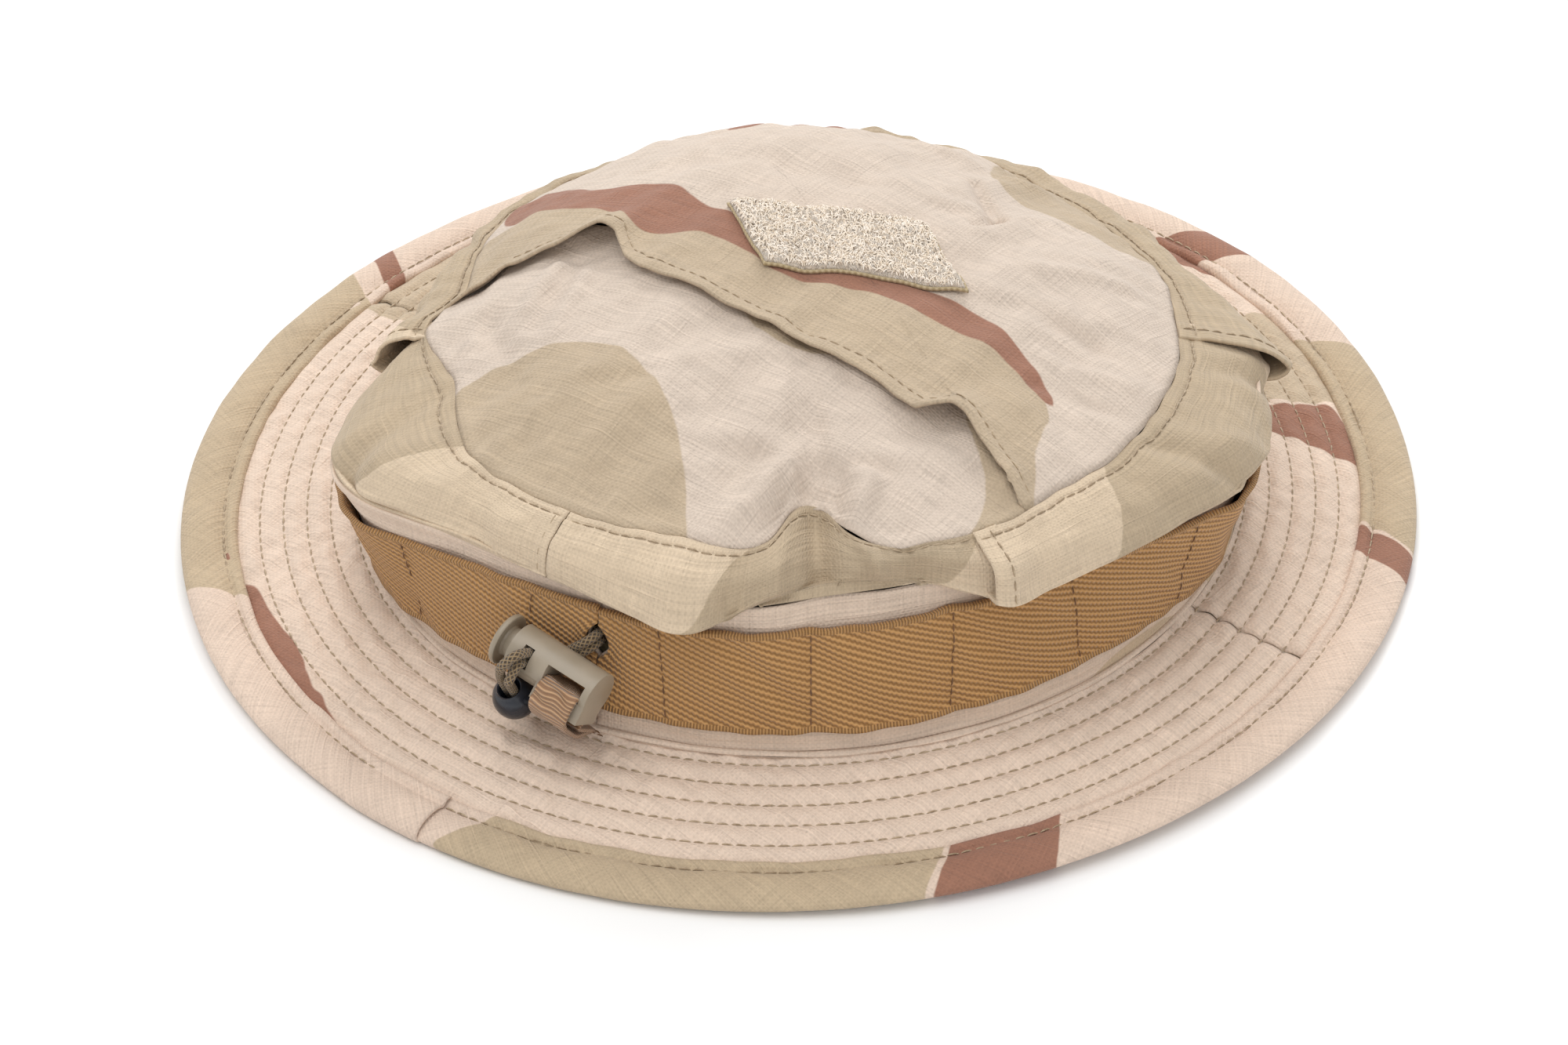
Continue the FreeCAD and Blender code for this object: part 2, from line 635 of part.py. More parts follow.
# ---------------------------------------------------------------- cords
def tube(points, diameter, label):
    """A cord along straight runs joined by tangent arcs; prints each bend's radius."""
    edges = []
    start = points[0]
    radii = []
    for before, corner, after in zip(points, points[1:], points[2:]):
        run_in = corner - before
        run_out = after - corner
        turn = run_in.getAngle(run_out)
        reach = size("bend_share") * min(run_in.Length, run_out.Length)
        radii.append(reach / math.tan(turn / 2))
        run_in.normalize()
        run_out.normalize()
        enter = corner - run_in * reach
        leave = corner + run_out * reach
        inward = run_out - run_in
        inward.normalize()
        middle = corner + inward * (radii[-1] / math.cos(turn / 2) - radii[-1])
        edges.append(Part.LineSegment(start, enter).toShape())
        edges.append(Part.Arc(enter, middle, leave).toShape())
        start = leave
    edges.append(Part.LineSegment(start, points[-1]).toShape())
    route = Part.Wire(edges)
    heading = points[1] - points[0]
    ring = Part.Wire(Part.makeCircle(diameter / 2, points[0], heading))
    solid = route.makePipeShell([ring], True, False)
    expected = math.pi * diameter ** 2 / 4 * route.Length
    if abs(solid.Volume - expected) > 0.01 * expected:
        raise RuntimeError(f"{label}: the tube's volume is {solid.Volume:.1f}, not {expected:.1f}")
    print(label, "length", round(route.Length, 1), "radii", [round(r, 1) for r in radii])
    return solid


strand_apart = (size("cord_size") + size("cord_clearance")) / 2
hole_at = size("barrel_length") / 2 - size("cord_hole_inset")
ring_inward = size("sidewall_cloth") + size("tunnel_gap") / 2
back = math.pi / 2
ring_half_length = sidewall_point(back, size("cord_height"), -ring_inward).y
ring_half_width = ring_half_length - size("crown_oval")

# The ring is an oval of four tangent arcs: sharp ones at front and back, flat ones at the sides.
narrower = ring_half_length - ring_half_width
end_radius = ring_half_width - size("ring_end_share") * narrower
end_middle = ring_half_length - end_radius
side_radius = (end_middle ** 2 + ring_half_width ** 2 - end_radius ** 2) / (2 * (ring_half_width - end_radius))
joining = Vector(side_radius - ring_half_width, end_middle, 0).normalize()
corner = Vector(0, end_middle, 0) + joining * end_radius
corners = [Vector(corner.x * x, corner.y * y, size("cord_height"))
           for x, y in ((1, 1), (-1, 1), (-1, -1), (1, -1))]
middles = [Vector(0, ring_half_length, size("cord_height")), Vector(-ring_half_width, 0, size("cord_height")),
           Vector(0, -ring_half_length, size("cord_height")), Vector(ring_half_width, 0, size("cord_height"))]
ring_arcs = [Part.Arc(corners[i], middles[i], corners[(i + 1) % 4]).toShape() for i in range(4)]
ring_wire = Part.Wire(ring_arcs[3:] + ring_arcs[:3])
ring_heading = ring_arcs[3].tangentAt(ring_arcs[3].FirstParameter)
ring_section = Part.Wire(Part.makeCircle(size("cord_size") / 2, corners[3], ring_heading))
hidden_ring = ring_wire.makePipeShell([ring_section], True, False)


def strand(side):
    """One end of the drawcord, out through the slit to the inner mouth of the lock."""
    up = side * strand_apart
    leave_y = end_middle + math.sqrt(end_radius ** 2 - size("slit_x") ** 2)
    tunnel = Vector(size("slit_x"), leave_y, size("cord_height") + up)
    outside_slit = tunnel + Vector(size("strand_drift"), size("strand_out"), 0)
    stop = size("barrel_radius") + size("cord_size") / 2 + 5 * size("cord_clearance")
    mouth = lock_place.multVec(Vector(hole_at - size("cord_size"), -stop, up))
    return tube([tunnel, outside_slit, mouth], size("cord_size"), f"drawcord strand {side:+d}")


cord = hidden_ring
for side in (1, -1):
    cord = cord.fuse(strand(side))
part_feature("drawcord", cord)

bead_centre = Vector(size("bead_x"), size("bead_y"), size("bead_z"))
bead_axis = Rotation(Vector(1, 0, 0), -size("bead_lean")).multVec(Vector(0, 0, 1))
bead_hole = size("cord_size") + size("cord_clearance")
along_barrel = lock_place.Rotation.multVec(Vector(1, 0, 0))
bead_side = (along_barrel - bead_axis * along_barrel.dot(bead_axis)).normalize()
tail_over = Vector(size("tail_over_x"), size("tail_over_y"), size("tail_over_z"))


def tail(side):
    """One strand of the free end: inside the barrel, out of the cord hole and down into the bead."""
    up = side * strand_apart
    inside_barrel = lock_place.multVec(Vector(hole_at, -size("barrel_radius") + size("tail_start"), up))
    outer = (side + 1) / 2 * (size("cord_size") + size("cord_clearance"))
    outside_barrel = lock_place.multVec(Vector(hole_at, size("barrel_radius") + size("tail_out") + outer, up))
    over = outside_barrel + tail_over + along_barrel * side * strand_apart
    above_bead = bead_centre + bead_axis * (size("bead_radius") + size("tail_above_bead")) + bead_side * up
    in_bead = bead_centre - bead_axis * (size("bead_radius") / 2) + bead_side * up
    return tube([inside_barrel, outside_barrel, over, above_bead, in_bead], size("cord_size"),
                f"drawcord tail {side:+d}")


part_feature("drawcord_tail", Part.makeCompound([tail(1), tail(-1)]))

ball = Part.makeSphere(size("bead_radius"), bead_centre)
bore_start = bead_centre - bead_axis * (size("bead_radius") * size("bead_bore_share"))
bead_bore = Part.makeCylinder(bead_hole, 2 * size("bead_radius"), bore_start, bead_axis)
part_feature("cord_end_bead", ball.cut(bead_bore))

# ---------------------------------------------------------------- write the sub-parts
doc.recompute()
for thing in doc.Objects:
    if "Invalid" in thing.State or "Error" in thing.State:
        raise RuntimeError(f"{thing.Label}: {thing.State}")
os.makedirs("parts", exist_ok=True)
for node in nodes:
    if node.Shape.isNull() or not node.Shape.isValid() or not node.Shape.Solids:
        raise RuntimeError(f"{node.Label} has no valid solid")
    node.Shape.exportStep(os.path.join("parts", node.Label + ".step"))
    box = node.Shape.BoundBox
    print(f"{node.Label:26s} solids {len(node.Shape.Solids):2d} volume {node.Shape.Volume:10.1f} "
          f"x {box.XMin:7.1f} {box.XMax:7.1f} y {box.YMin:7.1f} {box.YMax:7.1f} z {box.ZMin:6.2f} {box.ZMax:6.2f}")
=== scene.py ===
import math
import bmesh
import bpy
import numpy as np
from mathutils import Matrix, Vector


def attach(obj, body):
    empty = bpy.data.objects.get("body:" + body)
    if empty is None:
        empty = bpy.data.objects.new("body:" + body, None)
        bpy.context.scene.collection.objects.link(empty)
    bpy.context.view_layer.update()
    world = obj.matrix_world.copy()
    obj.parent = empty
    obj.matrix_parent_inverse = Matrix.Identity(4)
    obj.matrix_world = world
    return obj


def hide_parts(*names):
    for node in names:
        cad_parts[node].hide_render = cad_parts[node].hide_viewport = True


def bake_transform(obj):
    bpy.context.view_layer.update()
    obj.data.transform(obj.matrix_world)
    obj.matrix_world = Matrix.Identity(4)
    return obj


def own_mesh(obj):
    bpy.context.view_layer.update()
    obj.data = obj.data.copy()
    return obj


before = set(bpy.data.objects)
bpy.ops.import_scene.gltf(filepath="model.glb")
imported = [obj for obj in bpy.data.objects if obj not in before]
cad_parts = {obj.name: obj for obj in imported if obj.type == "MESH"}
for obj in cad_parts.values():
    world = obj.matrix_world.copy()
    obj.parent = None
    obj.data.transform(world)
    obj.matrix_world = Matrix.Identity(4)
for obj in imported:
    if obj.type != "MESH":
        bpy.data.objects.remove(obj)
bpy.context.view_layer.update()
mm = 0.001
back = 90  # degrees round the hat, where the cord lock hangs; 270 is the front


# ---- camera, floor and light
camera = {
    "place": (-0.49703, 0.71681, 0.66429),
    "right": (-0.81915, -0.57358, 0.0),
    "up": (0.34996, -0.49980, 0.79229),
    "lens": 108,
    "sensor": 36,
}
cameraData = bpy.data.cameras.new("studioCamera")
cameraData.lens = camera["lens"]
cameraData.sensor_width = camera["sensor"]
cameraData.clip_end = 20
cameraObject = bpy.data.objects.new("studioCamera", cameraData)
bpy.context.collection.objects.link(cameraObject)
sideways, upwards = Vector(camera["right"]), Vector(camera["up"])
turned = Matrix((sideways, upwards, sideways.cross(upwards))).transposed().to_4x4()
cameraObject.matrix_world = Matrix.Translation(camera["place"]) @ turned
bpy.context.scene.camera = cameraObject
bpy.context.scene.view_settings.view_transform = "Standard"

lights = {
    "overhead": {"place": (0.25, 0.35, 1.5), "side": 1.3, "watts": 10},
    "front": {"place": (-1.3, 0.7, 0.9), "side": 1.0, "watts": 3},
    "far": {"place": (0.6, -1.1, 0.95), "side": 0.7, "watts": 11},
}
for lightName, values in lights.items():
    lightData = bpy.data.lights.new(lightName, "AREA")
    lightData.shape = "SQUARE"
    lightData.size = values["side"]
    lightData.energy = values["watts"]
    lightObject = bpy.data.objects.new(lightName, lightData)
    bpy.context.collection.objects.link(lightObject)
    lightObject.location = values["place"]
    lightObject.rotation_euler = (-Vector(values["place"])).to_track_quat("-Z", "Y").to_euler()
world = bpy.data.worlds.new("studioWorld")
bpy.context.scene.world = world
world.use_nodes = True
world.node_tree.nodes["Background"].inputs["Color"].default_value = (1.0, 0.995, 0.985, 1)
world.node_tree.nodes["Background"].inputs["Strength"].default_value = 0.7
print("camera and light are up")


# ---- node helpers
def linear(code):
    parts = [int(code[i:i + 2], 16) / 255 for i in (1, 3, 5)]
    return [p / 12.92 if p <= 0.04045 else ((p + 0.055) / 1.055) ** 2.4 for p in parts] + [1.0]


def addNode(tree, kind, links=None, **settings):
    node = tree.nodes.new("ShaderNode" + kind)
    for key, value in settings.items():
        setattr(node, key, value)
    for key, value in (links or {}).items():
        if isinstance(value, bpy.types.NodeSocket):
            tree.links.new(value, node.inputs[key])
        else:
            node.inputs[key].default_value = value
    return node


def startMaterial(name, roughness, sheen=0.0, ior=1.5):
    material = bpy.data.materials.new(name)
    material.use_nodes = True
    shader = material.node_tree.nodes["Principled BSDF"]
    shader.inputs["Roughness"].default_value = roughness
    shader.inputs["IOR"].default_value = ior
    if sheen:
        shader.inputs["Sheen Weight"].default_value = sheen
        shader.inputs["Sheen Roughness"].default_value = 0.45
    return material, material.node_tree, shader


def clothAxes(tree, turn=0.0):
    coords = addNode(tree, "UVMap", uv_map="mm").outputs["UV"]
    if turn:
        mapping = addNode(tree, "Mapping", {"Vector": coords, "Rotation": (0, 0, math.radians(turn))})
        coords = mapping.outputs["Vector"]
    split = addNode(tree, "SeparateXYZ", {"Vector": coords})
    return coords, split.outputs["X"], split.outputs["Y"]


def calc(tree, operation, a, b=0.0, c=0.0):
    return addNode(tree, "Math", {0: a, 1: b, 2: c}, operation=operation).outputs[0]


def spread(tree, value, low, high, toLow=0.0, toHigh=1.0, smooth=False):
    return addNode(tree, "MapRange", {"Value": value, "From Min": low, "From Max": high,
                                      "To Min": toLow, "To Max": toHigh},
                   interpolation_type="SMOOTHSTEP" if smooth else "LINEAR").outputs["Result"]


def blendColours(tree, share, a, b, mode="MIX"):
    mix = addNode(tree, "Mix", data_type="RGBA", blend_type=mode)
    for key, value in ((0, share), (6, a), (7, b)):
        if isinstance(value, bpy.types.NodeSocket):
            tree.links.new(value, mix.inputs[key])
        else:
            mix.inputs[key].default_value = value
    return mix.outputs[2]


def streaks(tree, u, v, long, short, detail=2.0):
    stretched = addNode(tree, "CombineXYZ", {"X": calc(tree, "DIVIDE", u, long),
                                             "Y": calc(tree, "DIVIDE", v, short)})
    return addNode(tree, "TexNoise", {"Vector": stretched.outputs[0], "Scale": 1.0,
                                      "Detail": detail}).outputs["Fac"]


def weaveHeight(tree, u, v, pitch):
    across = calc(tree, "SINE", calc(tree, "MULTIPLY", u, math.pi / pitch))
    along = calc(tree, "SINE", calc(tree, "MULTIPLY", v, math.pi / pitch))
    return calc(tree, "MULTIPLY_ADD", calc(tree, "MULTIPLY", across, along), 0.5, 0.5)


# ---- cloth of the hat: cotton and nylon ripstop, printed in three tones
ripstop = {
    # sand here is the crown top's tone: it is the same cloth as the brim, kept darker as painted shade
    # because the top catches more lamp light
    "sand": "#CEBEAF", "khaki": "#B9A68D", "brown": "#996D59",
    "thread pitch": 0.62,  # mm; the real 0.45 is drawn coarser so that it shows
    "grid": 5.6,  # mm between the thicker threads
    "slub": 0.21,  # how much single threads differ in tone
}


def ripstopMaterial(name, turn=0.0, sand=ripstop["sand"], khaki=ripstop["khaki"], paintedLightScale=1.0):
    material, tree, shader = startMaterial(name, 0.9, sheen=0.12)  # matt woven cloth with a faint bloom
    coords, u, v = clothAxes(tree, turn)
    wander = addNode(tree, "TexNoise", {"Vector": coords, "Scale": 0.09, "Detail": 1.5}).outputs["Fac"]
    tone = linear(sand)
    for label, colour in (("khaki", khaki), ("brown", ripstop["brown"])):
        inside = addNode(tree, "Attribute", attribute_name=label).outputs["Fac"]
        inside = calc(tree, "ADD", inside, calc(tree, "MULTIPLY_ADD", wander, 1.8, -0.9))
        tone = blendColours(tree, spread(tree, inside, -0.3, 0.3, smooth=True), tone, linear(colour))
    weave = weaveHeight(tree, u, v, ripstop["thread pitch"])
    warp = streaks(tree, u, v, 14.0, 0.5)
    weft = streaks(tree, u, v, 0.5, 9.0)
    gridLine = calc(tree, "MAXIMUM",
                    spread(tree, calc(tree, "PINGPONG", u, ripstop["grid"] / 2), 0.0, 0.42, 1.0, 0.0, True),
                    spread(tree, calc(tree, "PINGPONG", v, ripstop["grid"] / 2), 0.0, 0.42, 1.0, 0.0, True))
    gridLine = calc(tree, "MULTIPLY", gridLine, spread(tree, warp, 0.35, 0.65))
    slub = calc(tree, "ADD", calc(tree, "MULTIPLY_ADD", warp, ripstop["slub"] * 2.2,
                                  -ripstop["slub"] * 1.1),
                calc(tree, "MULTIPLY_ADD", weft, ripstop["slub"] * 1.6, -ripstop["slub"] * 0.8))
    faded = addNode(tree, "TexNoise", {"Vector": coords, "Scale": 0.03, "Detail": 2.0}).outputs["Fac"]
    # the last factor scales the whole cloth's brightness as painted light; 1.0 leaves it as it is
    light = calc(tree, "ADD", slub, calc(tree, "MULTIPLY_ADD", weave, 0.08, 0.95 * paintedLightScale - 0.04))
    light = calc(tree, "ADD", light, calc(tree, "MULTIPLY", gridLine, 0.09))
    light = calc(tree, "ADD", light, calc(tree, "MULTIPLY_ADD", faded, 0.14, -0.07))
    lit = addNode(tree, "CombineXYZ", {"X": light, "Y": light, "Z": light}).outputs[0]
    tree.links.new(blendColours(tree, 1.0, tone, lit, "MULTIPLY"), shader.inputs["Base Color"])
    tree.links.new(spread(tree, warp, 0.3, 0.7, 0.82, 0.95), shader.inputs["Roughness"])
    height = calc(tree, "ADD", calc(tree, "MULTIPLY", weave, 0.35), calc(tree, "MULTIPLY", gridLine, 0.5))
    height = calc(tree, "ADD", height, calc(tree, "MULTIPLY", calc(tree, "ADD", warp, weft), 1.1))
    bump = addNode(tree, "Bump", {"Height": height, "Strength": 0.8, "Distance": 0.00025})
    tree.links.new(bump.outputs[0], shader.inputs["Normal"])
    return material


camoCloth = ripstopMaterial("ripstopCamo")
# the brim is the same ripstop as the crown top, given a lighter sand and a brightness factor of 1.02 as
# painted light, since it gets less lamp light than the top
brimCloth = ripstopMaterial("ripstopBrim", turn=4, sand="#DEC9B7", khaki="#C0AD94", paintedLightScale=1.02)
biasCloth = ripstopMaterial("ripstopBias", turn=45, sand="#DCC6B4", khaki="#BDA98D")
bandCloth = ripstopMaterial("ripstopBand", sand="#D0BCA2", khaki="#B5A288")
wallCloth = ripstopMaterial("ripstopWall", sand="#DDC8B5", khaki="#CBB599")


def plainWeave(name, colour, darker, pitch, roughness, sheen):
    material, tree, shader = startMaterial(name, roughness, sheen)
    coords, u, v = clothAxes(tree)
    weave = weaveHeight(tree, u, v, pitch)
    slub = streaks(tree, u, v, 6.0, 0.6)
    tree.links.new(blendColours(tree, calc(tree, "MULTIPLY", weave, spread(tree, slub, 0.2, 0.8, 0.7, 1.0)),
                                linear(darker), linear(colour)), shader.inputs["Base Color"])
    bump = addNode(tree, "Bump", {"Height": calc(tree, "ADD", weave, slub), "Strength": 0.6,
                                  "Distance": 0.0002})
    tree.links.new(bump.outputs[0], shader.inputs["Normal"])
    return material


interliningCloth = plainWeave("spunInterlining", "#CFC8B8", "#B8AF9C", 0.9, 0.95, 0.05)  # matt fused layer
sweatbandCloth = plainWeave("cottonTwillBand", "#B9A98A", "#968566", 0.9, 0.9, 0.1)  # soft absorbent twill
labelCloth = plainWeave("wovenLabelTape", "#E6E0D2", "#CFC7B4", 0.5, 0.7, 0.2)  # smooth satin tape
patchCloth = plainWeave("patchBacking", "#C9B795", "#A6926E", 0.7, 0.8, 0.1)  # tight nylon ground


def threadMaterial(name, colour, darker):
    material, tree, shader = startMaterial(name, 0.6, sheen=0.2)  # spun polyester, a little glossy
    place = addNode(tree, "TexCoord").outputs["Object"]
    twist = addNode(tree, "TexNoise", {"Vector": place, "Scale": 900.0, "Detail": 2.0}).outputs["Fac"]
    tree.links.new(blendColours(tree, spread(tree, twist, 0.35, 0.65), linear(darker), linear(colour)),
                   shader.inputs["Base Color"])
    bump = addNode(tree, "Bump", {"Height": twist, "Strength": 0.5, "Distance": 0.0001})
    tree.links.new(bump.outputs[0], shader.inputs["Normal"])
    return material


sewingThread = threadMaterial("polyesterThread", "#B7A388", "#947F64")
elasticThread = threadMaterial("elasticTackThread", "#7B5430", "#5E3F22")
pileFibre = threadMaterial("nylonLoopPile", "#FCF3E8", "#EADCC9")


def elasticMaterial():
    # ribbed webbing with covered rubber
    material, tree, shader = startMaterial("wovenElastic", 0.75, sheen=0.15)
    coords, u, v = clothAxes(tree)
    lean = math.radians(24)
    down = calc(tree, "ADD", calc(tree, "MULTIPLY", u, math.sin(lean)), calc(tree, "MULTIPLY", v,
                                                                             math.cos(lean)))
    step = calc(tree, "MULTIPLY", calc(tree, "SINE", calc(tree, "MULTIPLY", u, 2 * math.pi / 1.1)), 0.5)
    rib = calc(tree, "SINE", calc(tree, "ADD", calc(tree, "MULTIPLY", down, 2 * math.pi / 1.35), step))
    slub = streaks(tree, u, v, 1.2, 0.5)
    edge = addNode(tree, "Attribute", attribute_name="edge").outputs["Fac"]
    selvedge = spread(tree, edge, 0.9, 1.3, 1.0, 0.0, True)
    ticks = calc(tree, "SINE", calc(tree, "MULTIPLY", u, 2 * math.pi / 0.7))
    pattern = addNode(tree, "Mix", {0: selvedge, 2: rib, 3: ticks}, data_type="FLOAT").outputs[0]
    share = calc(tree, "ADD", spread(tree, pattern, -0.9, 0.5), calc(tree, "MULTIPLY_ADD",
                                                                     slub, 0.7, -0.35))
    tree.links.new(blendColours(tree, share, linear("#8F6636"), linear("#C8985F")),
                   shader.inputs["Base Color"])
    tree.links.new(spread(tree, slub, 0.3, 0.7, 0.65, 0.85), shader.inputs["Roughness"])
    height = calc(tree, "ADD", pattern, calc(tree, "MULTIPLY", step, 0.5))
    bump = addNode(tree, "Bump", {"Height": height, "Strength": 0.8, "Distance": 0.0003})
    tree.links.new(bump.outputs[0], shader.inputs["Normal"])
    return material


def plasticMaterial(name, colour, darker, roughness, grain, ior=1.49):
    material, tree, shader = startMaterial(name, roughness, ior=ior)
    place = addNode(tree, "TexCoord").outputs["Object"]
    fine = addNode(tree, "TexNoise", {"Vector": place, "Scale": grain, "Detail": 3.0}).outputs["Fac"]
    worn = addNode(tree, "TexNoise", {"Vector": place, "Scale": 160.0, "Detail": 2.0}).outputs["Fac"]
    tree.links.new(blendColours(tree, spread(tree, worn, 0.3, 0.7), linear(darker), linear(colour)),
                   shader.inputs["Base Color"])
    tree.links.new(spread(tree, worn, 0.3, 0.7, roughness - 0.06, roughness + 0.08),
                   shader.inputs["Roughness"])
    bump = addNode(tree, "Bump", {"Height": fine, "Strength": 0.25, "Distance": 0.0001})
    tree.links.new(bump.outputs[0], shader.inputs["Normal"])
    return material


def cordMaterial():
    # 16-strand sleeve, slightly shiny
    material, tree, shader = startMaterial("braidedNylonCord", 0.6, sheen=0.25)
    coords, u, v = clothAxes(tree)
    one = calc(tree, "SINE", calc(tree, "MULTIPLY", calc(tree, "ADD", u, v), 2 * math.pi / 1.1))
    two = calc(tree, "SINE", calc(tree, "MULTIPLY", calc(tree, "SUBTRACT", u, v), 2 * math.pi / 1.1))
    braid = calc(tree, "MAXIMUM", one, two)
    tree.links.new(blendColours(tree, spread(tree, braid, -0.1, 1.0), linear("#4C3B28"), linear("#9C8360")),
                   shader.inputs["Base Color"])
    bump = addNode(tree, "Bump", {"Height": braid, "Strength": 0.9, "Distance": 0.0003})
    tree.links.new(bump.outputs[0], shader.inputs["Normal"])
    return material


def ribbonMaterial():
    # ribbed polyester with a satin glint
    material, tree, shader = startMaterial("grosgrainRibbon", 0.5, sheen=0.3)
    coords, u, v = clothAxes(tree)
    bend = calc(tree, "MULTIPLY", calc(tree, "SINE", calc(tree, "MULTIPLY", u, 1.1)), 0.1)
    wavy = calc(tree, "ADD", v, bend)
    rib = calc(tree, "SINE", calc(tree, "MULTIPLY", wavy, 2 * math.pi / 0.75))
    tree.links.new(blendColours(tree, spread(tree, rib, -0.8, 0.9), linear("#8C6546"), linear("#C39B74")),
                   shader.inputs["Base Color"])
    bump = addNode(tree, "Bump", {"Height": rib, "Strength": 0.8, "Distance": 0.0003})
    tree.links.new(bump.outputs[0], shader.inputs["Normal"])
    return material


elasticWeb = elasticMaterial()
cordSleeve = cordMaterial()
ribbonWeave = ribbonMaterial()
lockPlastic = plasticMaterial("mouldedAcetal", "#A19482", "#968A78", 0.34, 1500.0)  # satin moulded plastic
beadRubber = plasticMaterial("mouldedBeadNylon", "#2B2F39", "#20232B", 0.27, 1200.0)  # dark, soft highlight


def steelMaterial():
    material, tree, shader = startMaterial("springSteel", 0.3)  # drawn wire, faint lines along it
    shader.inputs["Metallic"].default_value = 1.0
    place = addNode(tree, "TexCoord").outputs["Object"]
    drawn = addNode(tree, "TexNoise", {"Vector": place, "Scale": 1400.0}).outputs["Fac"]
    tree.links.new(blendColours(tree, drawn, linear("#8F9194"), linear("#C3C5C8")),
                   shader.inputs["Base Color"])
    tree.links.new(spread(tree, drawn, 0.3, 0.7, 0.25, 0.4), shader.inputs["Roughness"])
    return material


springSteel = steelMaterial()
print("materials are mixed")


# ---- shapes shared by the pieces; lengths in mm, angles in degrees
def around(table, degrees):
    angles = np.array(sorted(table), float)
    values = np.array([table[a] for a in sorted(table)], float)
    count = len(angles)
    place = np.mod(np.asarray(degrees, float) - angles[0], 360) + angles[0]
    low = np.clip(np.searchsorted(angles, place, side="right") - 1, 0, count - 1)
    stepTo = np.mod(np.roll(angles, -1) - angles, 360)
    slopes = (np.roll(values, -1) - np.roll(values, 1)) / (stepTo + np.roll(stepTo, 1))
    high = (low + 1) % count
    length = stepTo[low]
    t = (place - angles[low]) / length
    return ((2 * t ** 3 - 3 * t ** 2 + 1) * values[low] + (t ** 3 - 2 * t ** 2 + t) * length * slopes[low]
            + (3 * t ** 2 - 2 * t ** 3) * values[high] + (t ** 3 - t ** 2) * length * slopes[high])


def wobble(seed, x, y, size, waves=7):
    draw = np.random.default_rng(seed)
    total = 0
    for wave in range(waves):
        heading = draw.uniform(0, 2 * math.pi)
        stretch = draw.uniform(0.6, 1.6)
        phase = draw.uniform(0, 2 * math.pi)
        across = (np.cos(heading) * x + np.sin(heading) * y) * 2 * math.pi
        total = total + np.sin(across / (size * stretch) + phase)
    return total / math.sqrt(waves)


def hump(distance, width):
    return np.exp(-(distance / width) ** 2)


def apart(a, b):
    return (np.asarray(a) - b + 180) % 360 - 180


def toSegment(x, y, start, end):
    dx, dy = end[0] - start[0], end[1] - start[1]
    t = np.clip(((x - start[0]) * dx + (y - start[1]) * dy) / (dx * dx + dy * dy), 0, 1)
    return np.hypot(x - start[0] - t * dx, y - start[1] - t * dy)


def softened(outline, rounds=3):
    for step in range(rounds):
        after = np.roll(outline, -1, axis=0)
        outline = np.stack([0.75 * outline + 0.25 * after, 0.25 * outline + 0.75 * after], 1).reshape(-1, 2)
    return outline


def depthInside(x, y, outline):
    outline = softened(np.array(outline, float))
    best = np.full(x.shape, 1e9)
    odd = np.zeros(x.shape, bool)
    for start, end in zip(outline, np.roll(outline, -1, axis=0)):
        best = np.minimum(best, toSegment(x, y, start, end))
        crosses = (start[1] > y) != (end[1] > y)
        rise = end[1] - start[1] if end[1] != start[1] else 1e-9
        odd ^= crosses & (x < (end[0] - start[0]) * (y - start[1]) / rise + start[0])
    return np.where(odd, best, -best)


def deepest(x, y, outlines):
    result = np.full(x.shape, -50.0)
    for outline in outlines:
        result = np.maximum(result, depthInside(x, y, outline))
    return result


def arcs(degrees, radius, spans, slant=0.0):
    result = np.full(np.shape(degrees), -50.0)
    for start, end in spans:
        middle, halfSpan = (start + end) / 2, (end - start) / 2
        away = np.abs(apart(degrees + slant, middle))
        result = np.maximum(result, (halfSpan - away) * math.pi / 180 * radius)
    return result


def polar(degrees, radius, height):
    angle = np.radians(degrees)
    return np.stack(np.broadcast_arrays(radius * np.cos(angle), radius * np.sin(angle), height), -1)


def finishPiece(piece, material, nodes, body):
    if material is not None:
        piece.data.materials.clear()
        piece.data.materials.append(material)
    if nodes:
        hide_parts(*nodes)
    if body:
        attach(piece, body)
    return piece


def alone(piece):
    bpy.ops.object.select_all(action="DESELECT")
    piece.select_set(True)
    bpy.context.view_layer.objects.active = piece


def meshPiece(name, points, faces, corners=None, marks=None):
    mesh = bpy.data.meshes.new(name)
    mesh.from_pydata((np.asarray(points, float).reshape(-1, 3) * mm).tolist(), [],
                     np.asarray(faces).tolist())
    if corners is not None:
        layer = mesh.uv_layers.new(name="mm")
        layer.data.foreach_set("uv", np.asarray(corners, np.float32).ravel())
    for key, values in (marks or {}).items():
        attribute = mesh.attributes.new(key, "FLOAT", "POINT")
        attribute.data.foreach_set("value", np.asarray(values, np.float32).ravel())
    mesh.polygons.foreach_set("use_smooth", [True] * len(mesh.polygons))
    piece = bpy.data.objects.new(name, mesh)
    bpy.context.collection.objects.link(piece)
    return piece


